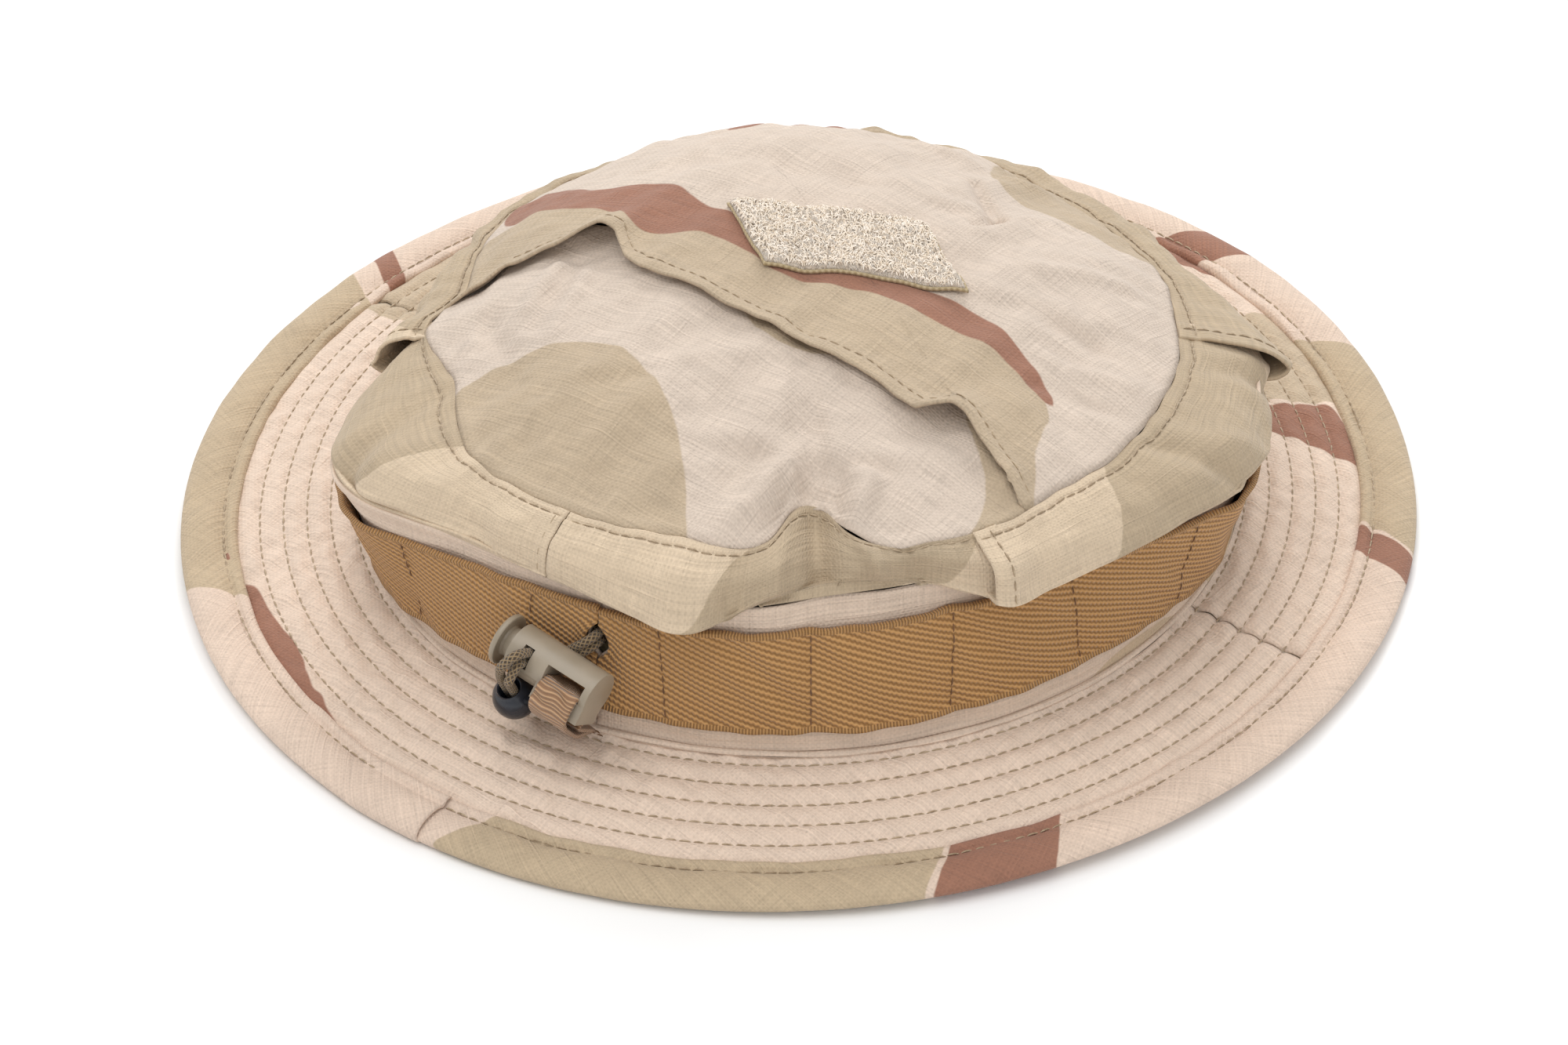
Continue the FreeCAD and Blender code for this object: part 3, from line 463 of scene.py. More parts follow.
# points run in rows from the middle or the top outwards, and round the hat within a row
def clothPiece(name, points, uv, thickness, material, nodes=(), marks=None, closed=False,
               body="hat", middle=False):
    rows, columns = points.shape[:2]
    spans = columns if closed else columns - 1
    r, c = np.meshgrid(np.arange(rows - 1), np.arange(spans), indexing="ij")
    r, c = r.ravel(), c.ravel()
    ahead = (c + 1) % columns
    faces = np.stack([r * columns + c, (r + 1) * columns + c, (r + 1) * columns + ahead,
                      r * columns + ahead], 1)
    corners = np.stack([uv[r, c], uv[r + 1, c], uv[r + 1, c + 1], uv[r, c + 1]], 1)
    piece = meshPiece(name, points, faces, corners, marks)
    if middle:
        builder = bmesh.new()
        builder.from_mesh(piece.data)
        builder.verts.ensure_lookup_table()
        bmesh.ops.remove_doubles(builder, verts=builder.verts[:columns], dist=1e-6)
        builder.to_mesh(piece.data)
        builder.free()
    if thickness:
        alone(piece)
        shell = piece.modifiers.new("thickness", "SOLIDIFY")
        shell.thickness = thickness * mm
        shell.offset = -1
        shell.use_even_offset = False
        bpy.ops.object.modifier_apply(modifier="thickness")
    return finishPiece(piece, material, nodes, body)


def planUv(points, extra=0):
    uv = points[..., :2].copy()
    return np.concatenate([uv, uv[:, :1]], 1) if extra else uv


def bandUv(points, closed):
    loop = np.concatenate([points, points[:, :1]], 1) if closed else points
    middleRow = loop[loop.shape[0] // 2]
    along = np.concatenate([[0], np.cumsum(np.linalg.norm(np.diff(middleRow, axis=0), axis=1))])
    down = np.linalg.norm(np.diff(loop, axis=0), axis=2).mean(1)
    down = np.concatenate([[0], np.cumsum(down)])
    return np.stack(np.broadcast_arrays(along[None, :], -down[:, None]), -1)


# one stitch: a short thread that rises from the cloth and dips back, modelled once and repeated
stitch = {"thread": 0.4, "length": 2.6, "pitch": 3.0}


def stitchTemplate(length, thread):
    rings, sides = 5, 6
    points = []
    for i in range(rings):
        t = i / (rings - 1) * 2 - 1
        lift = 0.34 * thread * (1 - t * t) - 0.28 * thread * t ** 4
        fat = 0.5 * thread * (1 - 0.55 * t ** 4)
        for j in range(sides):
            angle = 2 * math.pi * j / sides
            points.append((t * length / 2, fat * math.cos(angle), lift + fat * math.sin(angle)))
    faces = [(i * sides + j, (i + 1) * sides + j, (i + 1) * sides + (j + 1) % sides, i * sides
              + (j + 1) % sides) for i in range(rings - 1) for j in range(sides)]
    caps = [[0, 1, 2, 3, 4, 5], [24, 29, 28, 27, 26, 25]]
    return np.array(points), [list(reversed(f)) for f in faces] + caps


def stitches(name, rows, material, nodes=(), body="hat", pitch=None, length=None,
             thread=None, seed=3):
    pitch, length, thread = pitch or stitch["pitch"], length or stitch["length"], thread or stitch["thread"]
    template, templateFaces = stitchTemplate(length, thread)
    draw = np.random.default_rng(seed)
    points, faces = [], []
    for path, normals in rows:
        steps = np.concatenate([[0], np.cumsum(np.linalg.norm(np.diff(path, axis=0), axis=1))])
        count = max(2, int(steps[-1] / pitch))
        at = (np.arange(count) + 0.5) * steps[-1] / count
        place, ahead, behind, up = [
            np.stack([np.interp(at + shift, steps, source[:, k]) for k in range(3)], 1)
            for shift, source in ((0, path), (0.4, path), (-0.4, path), (0, normals))]
        along = ahead - behind
        along /= np.linalg.norm(along, axis=1)[:, None]
        up -= along * (up * along).sum(1)[:, None]
        up /= np.linalg.norm(up, axis=1)[:, None]
        side = np.cross(up, along)
        sway = draw.normal(0, 0.05, (count, 1))
        along, side = along + side * sway, side - along * sway
        long = draw.uniform(0.9, 1.06, count)[:, None, None]
        group = (place[:, None] + along[:, None] * template[None, :, :1] * long
                 + side[:, None] * template[None, :, 1:2] + up[:, None] * template[None, :, 2:])
        for one in group:
            base = len(points) * len(template)
            faces.extend([[base + i for i in face] for face in templateFaces])
            points.append(one)
    mesh = bpy.data.meshes.new(name)
    mesh.from_pydata((np.concatenate(points) * mm).tolist(), [], faces)
    mesh.polygons.foreach_set("use_smooth", [True] * len(mesh.polygons))
    piece = bpy.data.objects.new(name, mesh)
    bpy.context.collection.objects.link(piece)
    return finishPiece(piece, material, nodes, body)


# ---- the brim
brim = {
    "crown": (99.0, 103.0),  # half width and half length where it meets the crown
    "edge": (141.0, 147.0),
    "binding": 11.5,
    "rise": 5.2,
    "edge height": 2.85,
    "rows": [3, 8.6, 14.2, 19.8, 25.4, 31],  # quilting rows out from the crown
    "puff": 0.85,  # how far the cloth swells between two rows
    "puff below": -0.6,  # the lower cloth swells downwards, as a share of the puff
    "layers": 2.3,  # from the upper cloth down to the lower one
    "upper cloth": 0.6,
    "lower cloth": 0.5,
    "stiffener": 0.7,
    "lift": {0: 0.6, 40: 1.6, 80: 0.4, 105: 0.2, 130: 1.0, 160: 2.0, 190: 1.0, 215: 0.2, 240: 1.4, 275: 0.4,
             310: 1.6, 335: 0.3},
}


def ovalPoint(degrees, out):
    # out is 0 at the crown and 1 at the outer edge
    halfX = brim["crown"][0] + (brim["edge"][0] - brim["crown"][0]) * out
    halfY = brim["crown"][1] + (brim["edge"][1] - brim["crown"][1]) * out
    angle = np.radians(degrees)
    return halfX * np.cos(angle), halfY * np.sin(angle)


brimSpan = brim["edge"][1] - brim["crown"][1]


def brimLift(degrees, out):
    return around(brim["lift"], degrees) * np.clip(out, 0, 1.1) ** 2


def brimHeight(degrees, out, quilted=1.0):
    flat = 1 - brim["binding"] / brimSpan
    z = brim["edge height"] + brim["rise"] * np.clip(1 - out / flat, 0, 1) + brimLift(degrees, out)
    distance = out * brimSpan
    rows = np.array([-1.5] + brim["rows"] + [brimSpan - brim["binding"] + 2])
    low = np.clip(np.searchsorted(rows, distance, side="right") - 1, 0, len(rows) - 2)
    t = np.clip((distance - rows[low]) / (rows[low + 1] - rows[low]), 0, 1)
    x, y = ovalPoint(degrees, out)
    pucker = 1 + 0.3 * wobble(11, x, y, 8) + 0.3 * wobble(12, degrees * 2.1, low * 7.0, 7)
    return z + quilted * brim["puff"] * (1 - np.abs(2 * t - 1) ** 1.9) * pucker - 0.5 * quilted


brimBrown = [
    [(95, 94), (88, 100), (84, 103), (78, 103), (66, 110), (60, 112), (54, 116), (46, 123), (43, 123),
     (36, 128), (27, 132), (33, 134), (39, 132), (52, 127), (62, 122), (70, 115), (78, 111), (90, 101)],
    [(-66, -84), (-74, -86), (-80, -93), (-86, -98), (-93, -92), (-97, -97), (-108, -84), (-100, -80),
     (-93, -81), (-79, -77), (-70, -70)],
    [(-17, -131), (-24, -128), (-32, -127), (-39, -131), (-42, -138), (-20, -142)],
    [(60, -110), (88, -96), (104, -84), (112, -92), (80, -122), (56, -128)],
]
brimKhaki = [
    [(98, 2), (112, 4), (140, 2), (146, -20), (138, -44), (120, -42), (110, -34), (100, -18)],
    [(-50, -92), (-66, -84), (-80, -94), (-90, -104), (-84, -124), (-56, -126), (-44, -110)],
    [(10, -100), (34, -98), (44, -112), (30, -136), (4, -150), (-8, -124)],
]


def brimPanel(name, start, end, top, nodes):
    degrees = np.linspace(start, end, 390 if top else 260)
    out = np.linspace(0.004, 1 - 3.0 / brimSpan, 96 if top else 54)
    d, o = np.meshgrid(degrees, out)
    x, y = ovalPoint(d, o)
    if top:
        fromSeam = np.minimum(d - start, end - d)
        z = brimHeight(d, o) - 0.5 * hump(fromSeam, 0.5) + 0.3 * hump(fromSeam - 1.2, 0.6)
    else:
        z = brimHeight(d, o, brim["puff below"]) - brim["layers"]
    points = np.stack([x, y, z], -1)
    if not top:
        points = points[::-1]
        x, y = x[::-1], y[::-1]
    khaki, brown = brimKhaki, brimBrown
    if not top:
        khaki = [[(px * -0.9, py) for px, py in outline] for outline in brimKhaki]
        brown = [[(px, py * -0.9) for px, py in outline] for outline in brimBrown]
    marks = {"khaki": deepest(x, y, khaki), "brown": deepest(x, y, brown)}
    thickness = brim["upper cloth"] if top else brim["lower cloth"]
    clothPiece(name, points, planUv(points), thickness, brimCloth, nodes, marks)


# the two halves of each cloth meet in a seam at either side of the hat
for layer, top in (("Upper", True), ("Lower", False)):
    for half, start, end in (("Rear", -1.0, 184.9), ("Front", 185.1, 358.8)):
        node = "brim_" + layer.lower() + "_fabric_" + half.lower()
        brimPanel("brim" + layer + half, start, end, top, [node])


def brimStiffener():
    d, o = np.meshgrid(np.linspace(0, 360, 361)[:-1], np.linspace(0.02, 0.9, 20))
    x, y = ovalPoint(d, o)
    points = np.stack([x, y, brimHeight(d, o, 0) - 1.05], -1)
    clothPiece("brimStiffener", points, planUv(points, 1), brim["stiffener"], interliningCloth,
               ["brim_stiffener"], closed=True)


brimStiffener()


def brimRow(distance, top, shift):
    degrees = np.linspace(shift, 360 + shift, 900)
    out = np.full(degrees.shape, distance / brimSpan)
    x, y = ovalPoint(degrees, out)
    if top:
        z = brimHeight(degrees, out) + 0.12
    else:
        z = brimHeight(degrees, out, brim["puff below"]) - brim["layers"] - 0.65
    return np.stack([x, y, z], -1), np.tile([0, 0, 1.0 if top else -1.0], (len(degrees), 1))


quiltRows = []
for i, distance in enumerate(brim["rows"]):
    quiltRows += [brimRow(distance, True, 5 * i), brimRow(distance, False, 5 * i)]
stitches("brimQuilting", quiltRows, sewingThread, ["brim_quilting_thread"])

binding = {
    "profile": [(-13.2, 2.5), (-13.0, 3.6), (-12.3, 4.15), (-11.3, 4.2), (-10.5, 3.75), (-9.9, 3.4),
                (-9.2, 3.7), (-7.5, 4.25), (-5.0, 4.35), (-2.6, 3.9), (-1.0, 3.15), (-0.1, 2.2), (0.0, 1.5),
                (-0.4, 0.7), (-1.6, 0.15), (-4.0, 0.0), (-8.0, 0.05), (-11.4, 0.15), (-11.9, 0.8)],
    "lap": 89.6,  # where the tape's ends overlap
    "khaki": [(93, 136.5), (204, 236), (300, 326), (357, 409.7)],
    "brown": [(137, 148), (199.5, 203.5), (253.5, 260.5), (351.5, 354)],
}


def curveThrough(points, count):
    points = np.array(points, float)
    padded = np.vstack([2 * points[0] - points[1], points, 2 * points[-1] - points[-2]])
    spans = len(points) - 1
    t = np.linspace(0, spans - 1e-9, count)
    i = t.astype(int)
    f = (t - i)[:, None]
    a, b, c, e = padded[i], padded[i + 1], padded[i + 2], padded[i + 3]
    return 0.5 * (2 * b + (c - a) * f + (2 * a - 5 * b + 4 * c - e) * f ** 2
                  + (3 * b - a - 3 * c + e) * f ** 3)


edgeX, edgeY = brim["edge"]


def brimBinding():
    section = curveThrough(binding["profile"], 46)
    degrees = np.linspace(binding["lap"] - 1, binding["lap"] + 361.6, 800)
    d = degrees[None, :]
    lapOver = 0.75 / (1 + np.exp(-(d - degrees[-1] + 9) / 1.2))
    # the tape swells and puckers a little along its length
    swell = 1 + 0.05 * wobble(21, d, 0 * d, 14) + 0.05 * wobble(22, d, section[:, 1:] * 2, 5)
    angle = np.radians(d)
    outwardX, outwardY = np.cos(angle) / edgeX, np.sin(angle) / edgeY
    scale = np.hypot(outwardX, outwardY)
    outwardX, outwardY = outwardX / scale, outwardY / scale
    inset = section[:, :1] * (1 + 0.012 * wobble(23, d, 0 * d, 18)) + lapOver * 0.6
    x = edgeX * np.cos(angle) + outwardX * inset
    y = edgeY * np.sin(angle) + outwardY * inset
    onTop = np.where(section[:, 1:] > 1.2, 1.0, 0.0)
    z = section[:, 1:] * swell + lapOver * onTop + brimLift(d, 1.0 + inset / brimSpan)
    points = np.stack(np.broadcast_arrays(x, y, z), -1)
    slant = (section[:, :1] + 0 * d) * 0.25
    marks = {tone: arcs(d, edgeY, binding[tone], slant) for tone in ("khaki", "brown")}
    clothPiece("brimBinding", points, bandUv(points, False), brim["lower cloth"], biasCloth,
               ["brim_binding"], marks)


def bindingRow(inset, height):
    degrees = np.linspace(binding["lap"] - 1, binding["lap"] + 361, 1500)
    angle = np.radians(degrees)
    x = edgeX * np.cos(angle) + np.cos(angle) * inset
    y = edgeY * np.sin(angle) + np.sin(angle) * inset
    path = np.stack([x, y, height + brimLift(degrees, 1.0 + inset / brimSpan)], -1)
    return path, np.tile([0, 0, 1.0], (len(degrees), 1))


brimBinding()
stitches("bindingStitches", [bindingRow(-9.85, 3.5)], sewingThread, ["binding_thread"])
print("the brim is quilted and bound")


# ---- crown wall, elastic and sweatband
crown = {
    "foot": 6.4,
    "reach": {0: 86, 20: 86, 33: 88, 41: 92, 50: 103, 59: 112, 66: 112.5, 73: 107, 80: 102.5, 90: 100,
              100: 98.3, 110: 98.3, 120: 97, 130: 93.5, 143: 92.5, 155: 94, 166: 96, 178: 102, 186: 107,
              192: 107, 200: 105, 210: 102, 225: 96, 240: 91, 263: 90, 280: 88, 300: 87, 316: 86, 343: 85},
    "seam radius": {0: 83, 14: 80, 26: 77.5, 32: 81, 39: 85, 48: 83, 55: 82, 62: 85.5, 74: 92, 83: 92,
                    93: 92, 101: 91, 108: 90, 115: 91, 120: 88, 123.5: 77.5, 128: 76.5, 131.5: 85.5,
                    136: 91, 148: 92, 156: 91, 163: 89, 172: 89, 180: 88.5, 192: 87, 200: 86.5, 215: 84.5,
                    228: 85, 240: 83, 261: 82, 277: 84, 300: 86, 325: 85, 340: 82.5},
    "seam height": {0: 47, 20: 50, 35: 51, 60: 54, 90: 55, 120: 55, 150: 55, 180: 55, 196: 54, 215: 51,
                    240: 48, 270: 46, 300: 45, 330: 46},
    "fold radius": {0: 88, 20: 88, 33: 90, 41: 94, 50: 104, 59: 112.5, 66: 113.2, 72: 108, 80: 103,
                    90: 101.5, 97: 102, 105: 104, 111: 106, 116: 102, 121: 97, 127: 94, 133: 93, 141: 94,
                    146: 99, 150: 103.5, 156: 103, 163: 103, 175: 106, 184: 110, 191: 110, 200: 108,
                    206: 106, 215: 106, 225: 99, 232: 94, 250: 92.5, 263: 92, 280: 90, 300: 89,
                    316: 88, 343: 87},
    "fold height": {0: 42, 30: 43, 50: 45, 60: 46.8, 72: 47, 85: 46.2, 95: 45.5, 112: 44, 119: 48, 130: 50,
                    141: 48, 149: 45, 165: 45, 180: 46, 195: 44, 215: 43, 240: 42, 270: 41, 320: 41},
}


def seamHeight(degrees):
    # the seam allowance bunches under the stitches, so the edge ripples
    return around(crown["seam height"], degrees) + 0.3 * wobble(77, np.asarray(degrees) * 1.55, 0.0, 8, 9)


def footRadius(degrees):
    angle = np.radians(degrees)
    a, b = brim["crown"]
    return a * b / np.sqrt((b * np.cos(angle)) ** 2 + (a * np.sin(angle)) ** 2)


def wallRadius(degrees, height):
    climb = (height - crown["foot"]) / (41.5 - crown["foot"])
    foot = footRadius(degrees) - 0.15
    return foot + (around(crown["reach"], degrees) - foot) * np.clip(climb, 0, 1.2) ** 1.25


slit = {"angle": 99.4, "height": 31.0, "half": 4.2, "open": 1.5}


def slitGap(degrees, height, width):
    # the cloth's two ends meet above and below the slit and stand apart along it
    return width * np.clip(1 - ((height - slit["height"]) / slit["half"]) ** 2, 0, 1)


def slitBand(heights, outward, columns, gapWidth, relief, drop=None):
    degrees = np.linspace(slit["angle"] + 0.06, slit["angle"] + 359.94, columns)
    d, h = np.meshgrid(degrees, heights)
    gap = slitGap(d, h, gapWidth)
    nearStart, nearEnd = hump(d - degrees[0], 2.2), hump(degrees[-1] - d, 2.2)
    shifted = d + gap * (nearStart - nearEnd)
    level = h + drop(shifted) if drop else h
    return d, h, polar(shifted, wallRadius(shifted, level) + outward + relief(shifted, h), level)


wallHeights = np.concatenate([np.linspace(44.5, 40, 8), np.linspace(39, 13, 20), np.linspace(12, 6.9, 9)])


def wallRelief(d, h):
    crease = 0.3 * wobble(31, d * 1.7, h * 0.8, 26) + 0.14 * wobble(32, d * 0.6, h * 3, 12)
    hems = 0.5 * hump(h - 43.4, 1.4) + 0.5 * hump(h - 9.2, 1.2) + 0.35 * hump(h - 12.0, 0.9)
    return crease * np.clip((h - 7) / 4, 0, 1) + hems


footDegrees = np.linspace(0, 360, 721)[:-1]
wallKhaki = [[(330, 20), (420, 90), (520, 100), (540, 30), (430, 0)],
             [(40, 20), (60, 100), (120, 120), (150, 40), (90, 10)],
             [(270, 0), (300, 60), (330, 20)]]  # along the wall and up it, both stretched


def plainPrint(khaki):
    # print with khaki patches and no brown ones
    return {"khaki": khaki, "brown": np.full(khaki.shape, -50.0)}


def crownWall():
    d, h, points = slitBand(wallHeights, 0, 720, slit["open"], wallRelief)
    marks = plainPrint(deepest(d * 1.75, h * 4, wallKhaki))
    clothPiece("crownWall", points, bandUv(points, False), 0.9, wallCloth,
               ["sidewall"], marks)


def crownFootWelt():
    d, s = np.meshgrid(footDegrees, np.linspace(0, 2 * math.pi, 13))
    thick = 0.85 + 0.1 * wobble(41, d, s * 3, 9)
    height = 8.6 + brimLift(d, 0.02) + 0.8 * thick * np.sin(s) + 0.25 * wobble(42, d, 0 * d, 30)
    points = polar(d, footRadius(d) + 0.9 + thick * np.cos(s), height)[::-1]
    clothPiece("crownFootWelt", points, bandUv(points, True), 0, wallCloth, [],
               plainPrint(arcs(d, 103, [(190, 260)])), closed=True)


crownWall()
crownFootWelt()

elastic = {"bottom": 15.2, "top": 39.2, "thick": 1.3, "off wall": 1.5, "tacks": 20, "puff": 1.2}
tackAngles = [(back + 9 + 360 * (i + 0.5) / elastic["tacks"]) % 360 for i in range(elastic["tacks"])]


def elasticSag(d):
    return 0.5 * wobble(53, d, 0 * d, 60) - 2.6 * hump(apart(d, 58), 17) - 0.8 * hump(apart(d, 190), 14)


def elasticRelief(d, h):
    bay = np.mod(d - tackAngles[0], 360 / elastic["tacks"]) / (360 / elastic["tacks"])
    t = (h - elastic["bottom"]) / (elastic["top"] - elastic["bottom"])
    fullness = 0.65 + 0.35 * wobble(51, d * 0.9, h * 0.2, 30)
    puff = elastic["puff"] * (1 - np.abs(2 * bay - 1) ** 2.5) * fullness
    pull = 0.4 * wobble(52, d * 1.75 + h * 0.9, h * 0.15, 11)
    nearLock = 1 - 0.7 * hump(apart(d, 97), 9)
    roll = 0.45 * (hump(t, 0.035) + hump(1 - t, 0.035))
    lean = 0.2 * hump(apart(d, 62), 10) * t + 0.7 * hump(apart(d, 190), 8) * t
    return (puff + pull * 0.6) * nearLock + roll + lean


def elasticBand():
    rows = np.linspace(elastic["top"], elastic["bottom"], 44)
    d, h, points = slitBand(rows, elastic["off wall"], 760, 1.5, elasticRelief, elasticSag)
    edge = np.minimum(elastic["top"] - h, h - elastic["bottom"])
    clothPiece("elasticBand", points, bandUv(points, False), elastic["thick"], elasticWeb,
               ["elastic_band"], {"edge": edge})


def tackRow(number, tackAngle):
    heights = np.linspace(elastic["top"] - 1.0, elastic["bottom"] + 1.0, 30)
    tilt = (number * 7 % 5 - 2) * 0.35
    angles = tackAngle + tilt * (heights - 25) / 12
    level = heights + elasticSag(angles)
    radius = wallRadius(angles, level) + elastic["off wall"] + elasticRelief(angles, heights) + 0.05
    return polar(angles, radius, level), polar(angles, 1.0, 0 * angles)


elasticBand()
tackRows = [tackRow(number, tackAngle) for number, tackAngle in enumerate(tackAngles)]
stitches("elasticTacks", tackRows, elasticThread, ["elastic_band_tacks"], pitch=2.5,
         length=2.0, thread=0.36)

# layers inwards from the wall's face
lining = {"wall": 0.9, "tunnel": 2.7, "sweatband": 1.4, "label gap": 0.75}


def sweatband():
    d, h = np.meshgrid(footDegrees, np.concatenate([np.linspace(34, 31.5, 5), np.linspace(30, 6.9, 14)]))
    radius = wallRadius(d, h) - lining["wall"] - lining["tunnel"]
    points = polar(d, radius + 0.2 * wobble(61, d, h, 22) - 0.3 * hump(h - 33.4, 0.8), h)
    clothPiece("sweatband", points, bandUv(points, True), lining["sweatband"], sweatbandCloth,
               ["sweatband"], closed=True)


def sizeLabel():
    d, h = np.meshgrid(np.linspace(263, 277, 40), np.linspace(33.4, 20.2, 20))
    radius = wallRadius(d, h) - sum(lining.values()) + 0.25 * wobble(62, d * 2, h, 14)
    points = polar(d, radius, h)[:, ::-1]
    labelPiece = clothPiece("sizeLabel", points, bandUv(points, False), 0.3, labelCloth,
                            ["size_label"])


sweatband()
sizeLabel()
print("the crown wall, elastic and sweatband are sewn")


# ---- side band of the crown: it folds out over the wall, in four hemmed panels
def bandProfile(degrees, share, flare=0.0, tuck=0.0):
    # share runs 0 at the seam, about 0.62 at the fold and 1 where it is sewn to the wall
    degrees = np.asarray(degrees, float)
    seamR, seamZ = around(crown["seam radius"], degrees), seamHeight(degrees)
    foldR, foldZ = around(crown["fold radius"], degrees), around(crown["fold height"], degrees)
    wallR = wallRadius(degrees, 41.0) + 0.3
    controls = [
        (seamR, seamZ),
        (seamR + 0.28 * (foldR - seamR) + 0.6, seamZ - 0.16 * (seamZ - foldZ) + 0.6),
        (seamR + 0.68 * (foldR - seamR) + 1.2, seamZ - 0.5 * (seamZ - foldZ) + 1.1),
        (foldR, foldZ),
        (foldR - 0.2, foldZ - 1.9),
        (np.minimum(wallR + 0.9, foldR - 0.6), foldZ - 2.6),
        (wallR, np.minimum(foldZ - 1.2, 45.5)),
    ]
    spans = len(controls) - 1
    t = np.clip(share, 0, 1) * (spans - 1e-6)
    i = t.astype(int)
    f = t - i
    stack = np.stack([np.stack(np.broadcast_arrays(*c), 0) for c in controls], 0)
    stack = np.concatenate([2 * stack[:1] - stack[1:2], stack, 2 * stack[-1:] - stack[-2:-1]], 0)
    shape = np.broadcast(degrees, share).shape
    widened = stack.reshape(stack.shape[:2] + (1,) * (len(shape) - degrees.ndim) + degrees.shape)
    stack = np.broadcast_to(widened, stack.shape[:2] + shape)
    both = np.ones((1, 2) + (1,) * len(shape), int)
    pick = [np.take_along_axis(stack, np.broadcast_to(i + k, shape)[None, None] * both, 0)[0]
            for k in range(4)]
    a, b, c, e = pick
    result = 0.5 * (2 * b + (c - a) * f + (2 * a - 5 * b + 4 * c - e) * f ** 2
                    + (3 * b - a - 3 * c + e) * f ** 3)
    bulge = np.sin(np.pi * np.clip(share / 0.95, 0, 1))
    radius, height = result[0] + (flare - tuck) * bulge, result[1] + 0.35 * flare * bulge
    return radius, height


bandFolds = [  # angle at the seam, angle at the fold, width in degrees, depth in mm
    (57, 63, 2.2, -3.0), (66, 70, 2.4, 1.0), (79, 81, 2.6, -1.3), (84, 86, 2.5, 0.8),
    (108, 109, 3.0, 1.4), (117, 116, 1.5, -2.6), (121, 121, 1.5, 2.2), (127, 127, 2.4, -7.0),
    (123, 122, 1.0, 1.8), (132.5, 135, 1.4, 3.4), (138, 140, 1.5, -1.8),
    (178, 186, 1.8, -2.2), (182, 192, 2.2, 1.4), (199, 206, 1.8, -1.6), (203, 210, 1.5, 1.0),
    (170, 176, 2.0, -0.9), (240, 244, 3, 1.0), (262, 258, 3, -1.2), (290, 296, 3, 1.3),
    (318, 312, 2.5, -1.3),
    (345, 350, 2.5, 1.0), (12, 8, 2.2, -1.1), (24, 27, 2.0, 1.0),
]


def bandPoint(degrees, share, flare=0.0, tuck=0.0):
    radius, height = bandProfile(degrees, share, flare, tuck)
    outward = np.sin(np.pi * np.clip(share / 0.8, 0, 1)) * 0.9 + 0.1
    for seamAngle, foldAngle, width, depth in bandFolds:
        middleLine = seamAngle + (foldAngle - seamAngle) * np.clip(share / 0.5, 0, 1.5)
        shift = depth * hump(apart(degrees, middleLine), width) * outward
        radius = radius + shift * 0.75
        height = height + shift * 0.5
    rough = 0.4 * wobble(71, degrees * 1.7, share * 40, 15) + 0.14 * wobble(72, degrees * 1.7,
                                                                            share * 40, 7)
    return polar(degrees, radius + rough * outward * 0.8, height + rough * outward * 0.6)


def bandPanel(name, start, end, flares, tucks, nodes, khakiSpans):
    degrees = np.linspace(start, end, int((end - start) * 2.6))
    d, s = np.meshgrid(degrees, np.linspace(0, 1, 64))
    flare = sum(amount * hump(apart(d, at), width) for at, width, amount in flares) + 0 * d
    tuck = sum(amount * hump(apart(d, at), width) for at, width, amount in tucks) + 0 * d
    points = bandPoint(d, s, flare, tuck)
    # the hem at each end is folded double, so it stands a little proud and its stitches dent it
    fromEnd = np.minimum(d - start, end - d) * 1.75
    hem = 0.45 / (1 + np.exp((fromEnd - 5.0) / 0.4)) - 0.35 * hump(fromEnd - 4.0, 0.6)
    lifted = points + polar(d, 1.0, 0 * d) * (hem * 0.8)[..., None] * np.clip(s * 8, 0, 1)[..., None]
    lifted[..., 2] += hem * 0.6
    stitchDent = 0.4 * hump(s - 0.085, 0.018)
    lifted[..., 2] -= stitchDent
    marks = plainPrint(arcs(d, 98, khakiSpans, s * 12))
    clothPiece(name, lifted, bandUv(lifted, False), 0.8, bandCloth, nodes, marks)


bandPanel("sideBandRearLeft", 36.0, 92.35, [], [(36, 7, 4.5)], ["side_panel_rear_left"], [(36, 71)])
bandPanel("sideBandRearRight", 92.55, 151.5, [], [(151, 5, 3.2)], ["side_panel_rear_right"], [(118, 150)])
bandPanel("sideBandRight", 148.0, 213.5, [(148, 4, 2.6)], [(215, 5, 3.5)], ["side_panel_right"],
          [(172, 214)])
bandPanel("sideBandFront", 209.0, 400.5, [(209, 5, 3.5), (400, 6, 3.6)], [], ["side_panel_front"],
          [(209, 400)])


def bandRow(start, end, share, lift=0.12, flare=lambda d: 0.0, tuck=lambda d: 0.0):
    degrees = np.linspace(start, end, max(40, int((end - start) * 4)))
    level = np.full(degrees.shape, share)
    here = bandPoint(degrees, level, flare(degrees), tuck(degrees))
    below = bandPoint(degrees, level + 0.01, flare(degrees), tuck(degrees))
    along = np.gradient(here, axis=0)
    normal = np.cross(below - here, along)
    normal /= np.linalg.norm(normal, axis=1)[:, None]
    here[:, 2] -= 0.4
    return here + normal * (lift + 0.15), normal


def endRow(angle, flare, tuck, offset, low=0.02, high=0.62):
    shares = np.linspace(low, high, 60)
    degrees = np.full(shares.shape, angle + offset)
    here = bandPoint(degrees, shares, flare, tuck)
    beside = bandPoint(degrees + 0.2, shares, flare, tuck)
    down = np.gradient(here, axis=0)
    normal = np.cross(down, beside - here)
    normal /= np.linalg.norm(normal, axis=1)[:, None]
    return here + normal * 0.2, normal


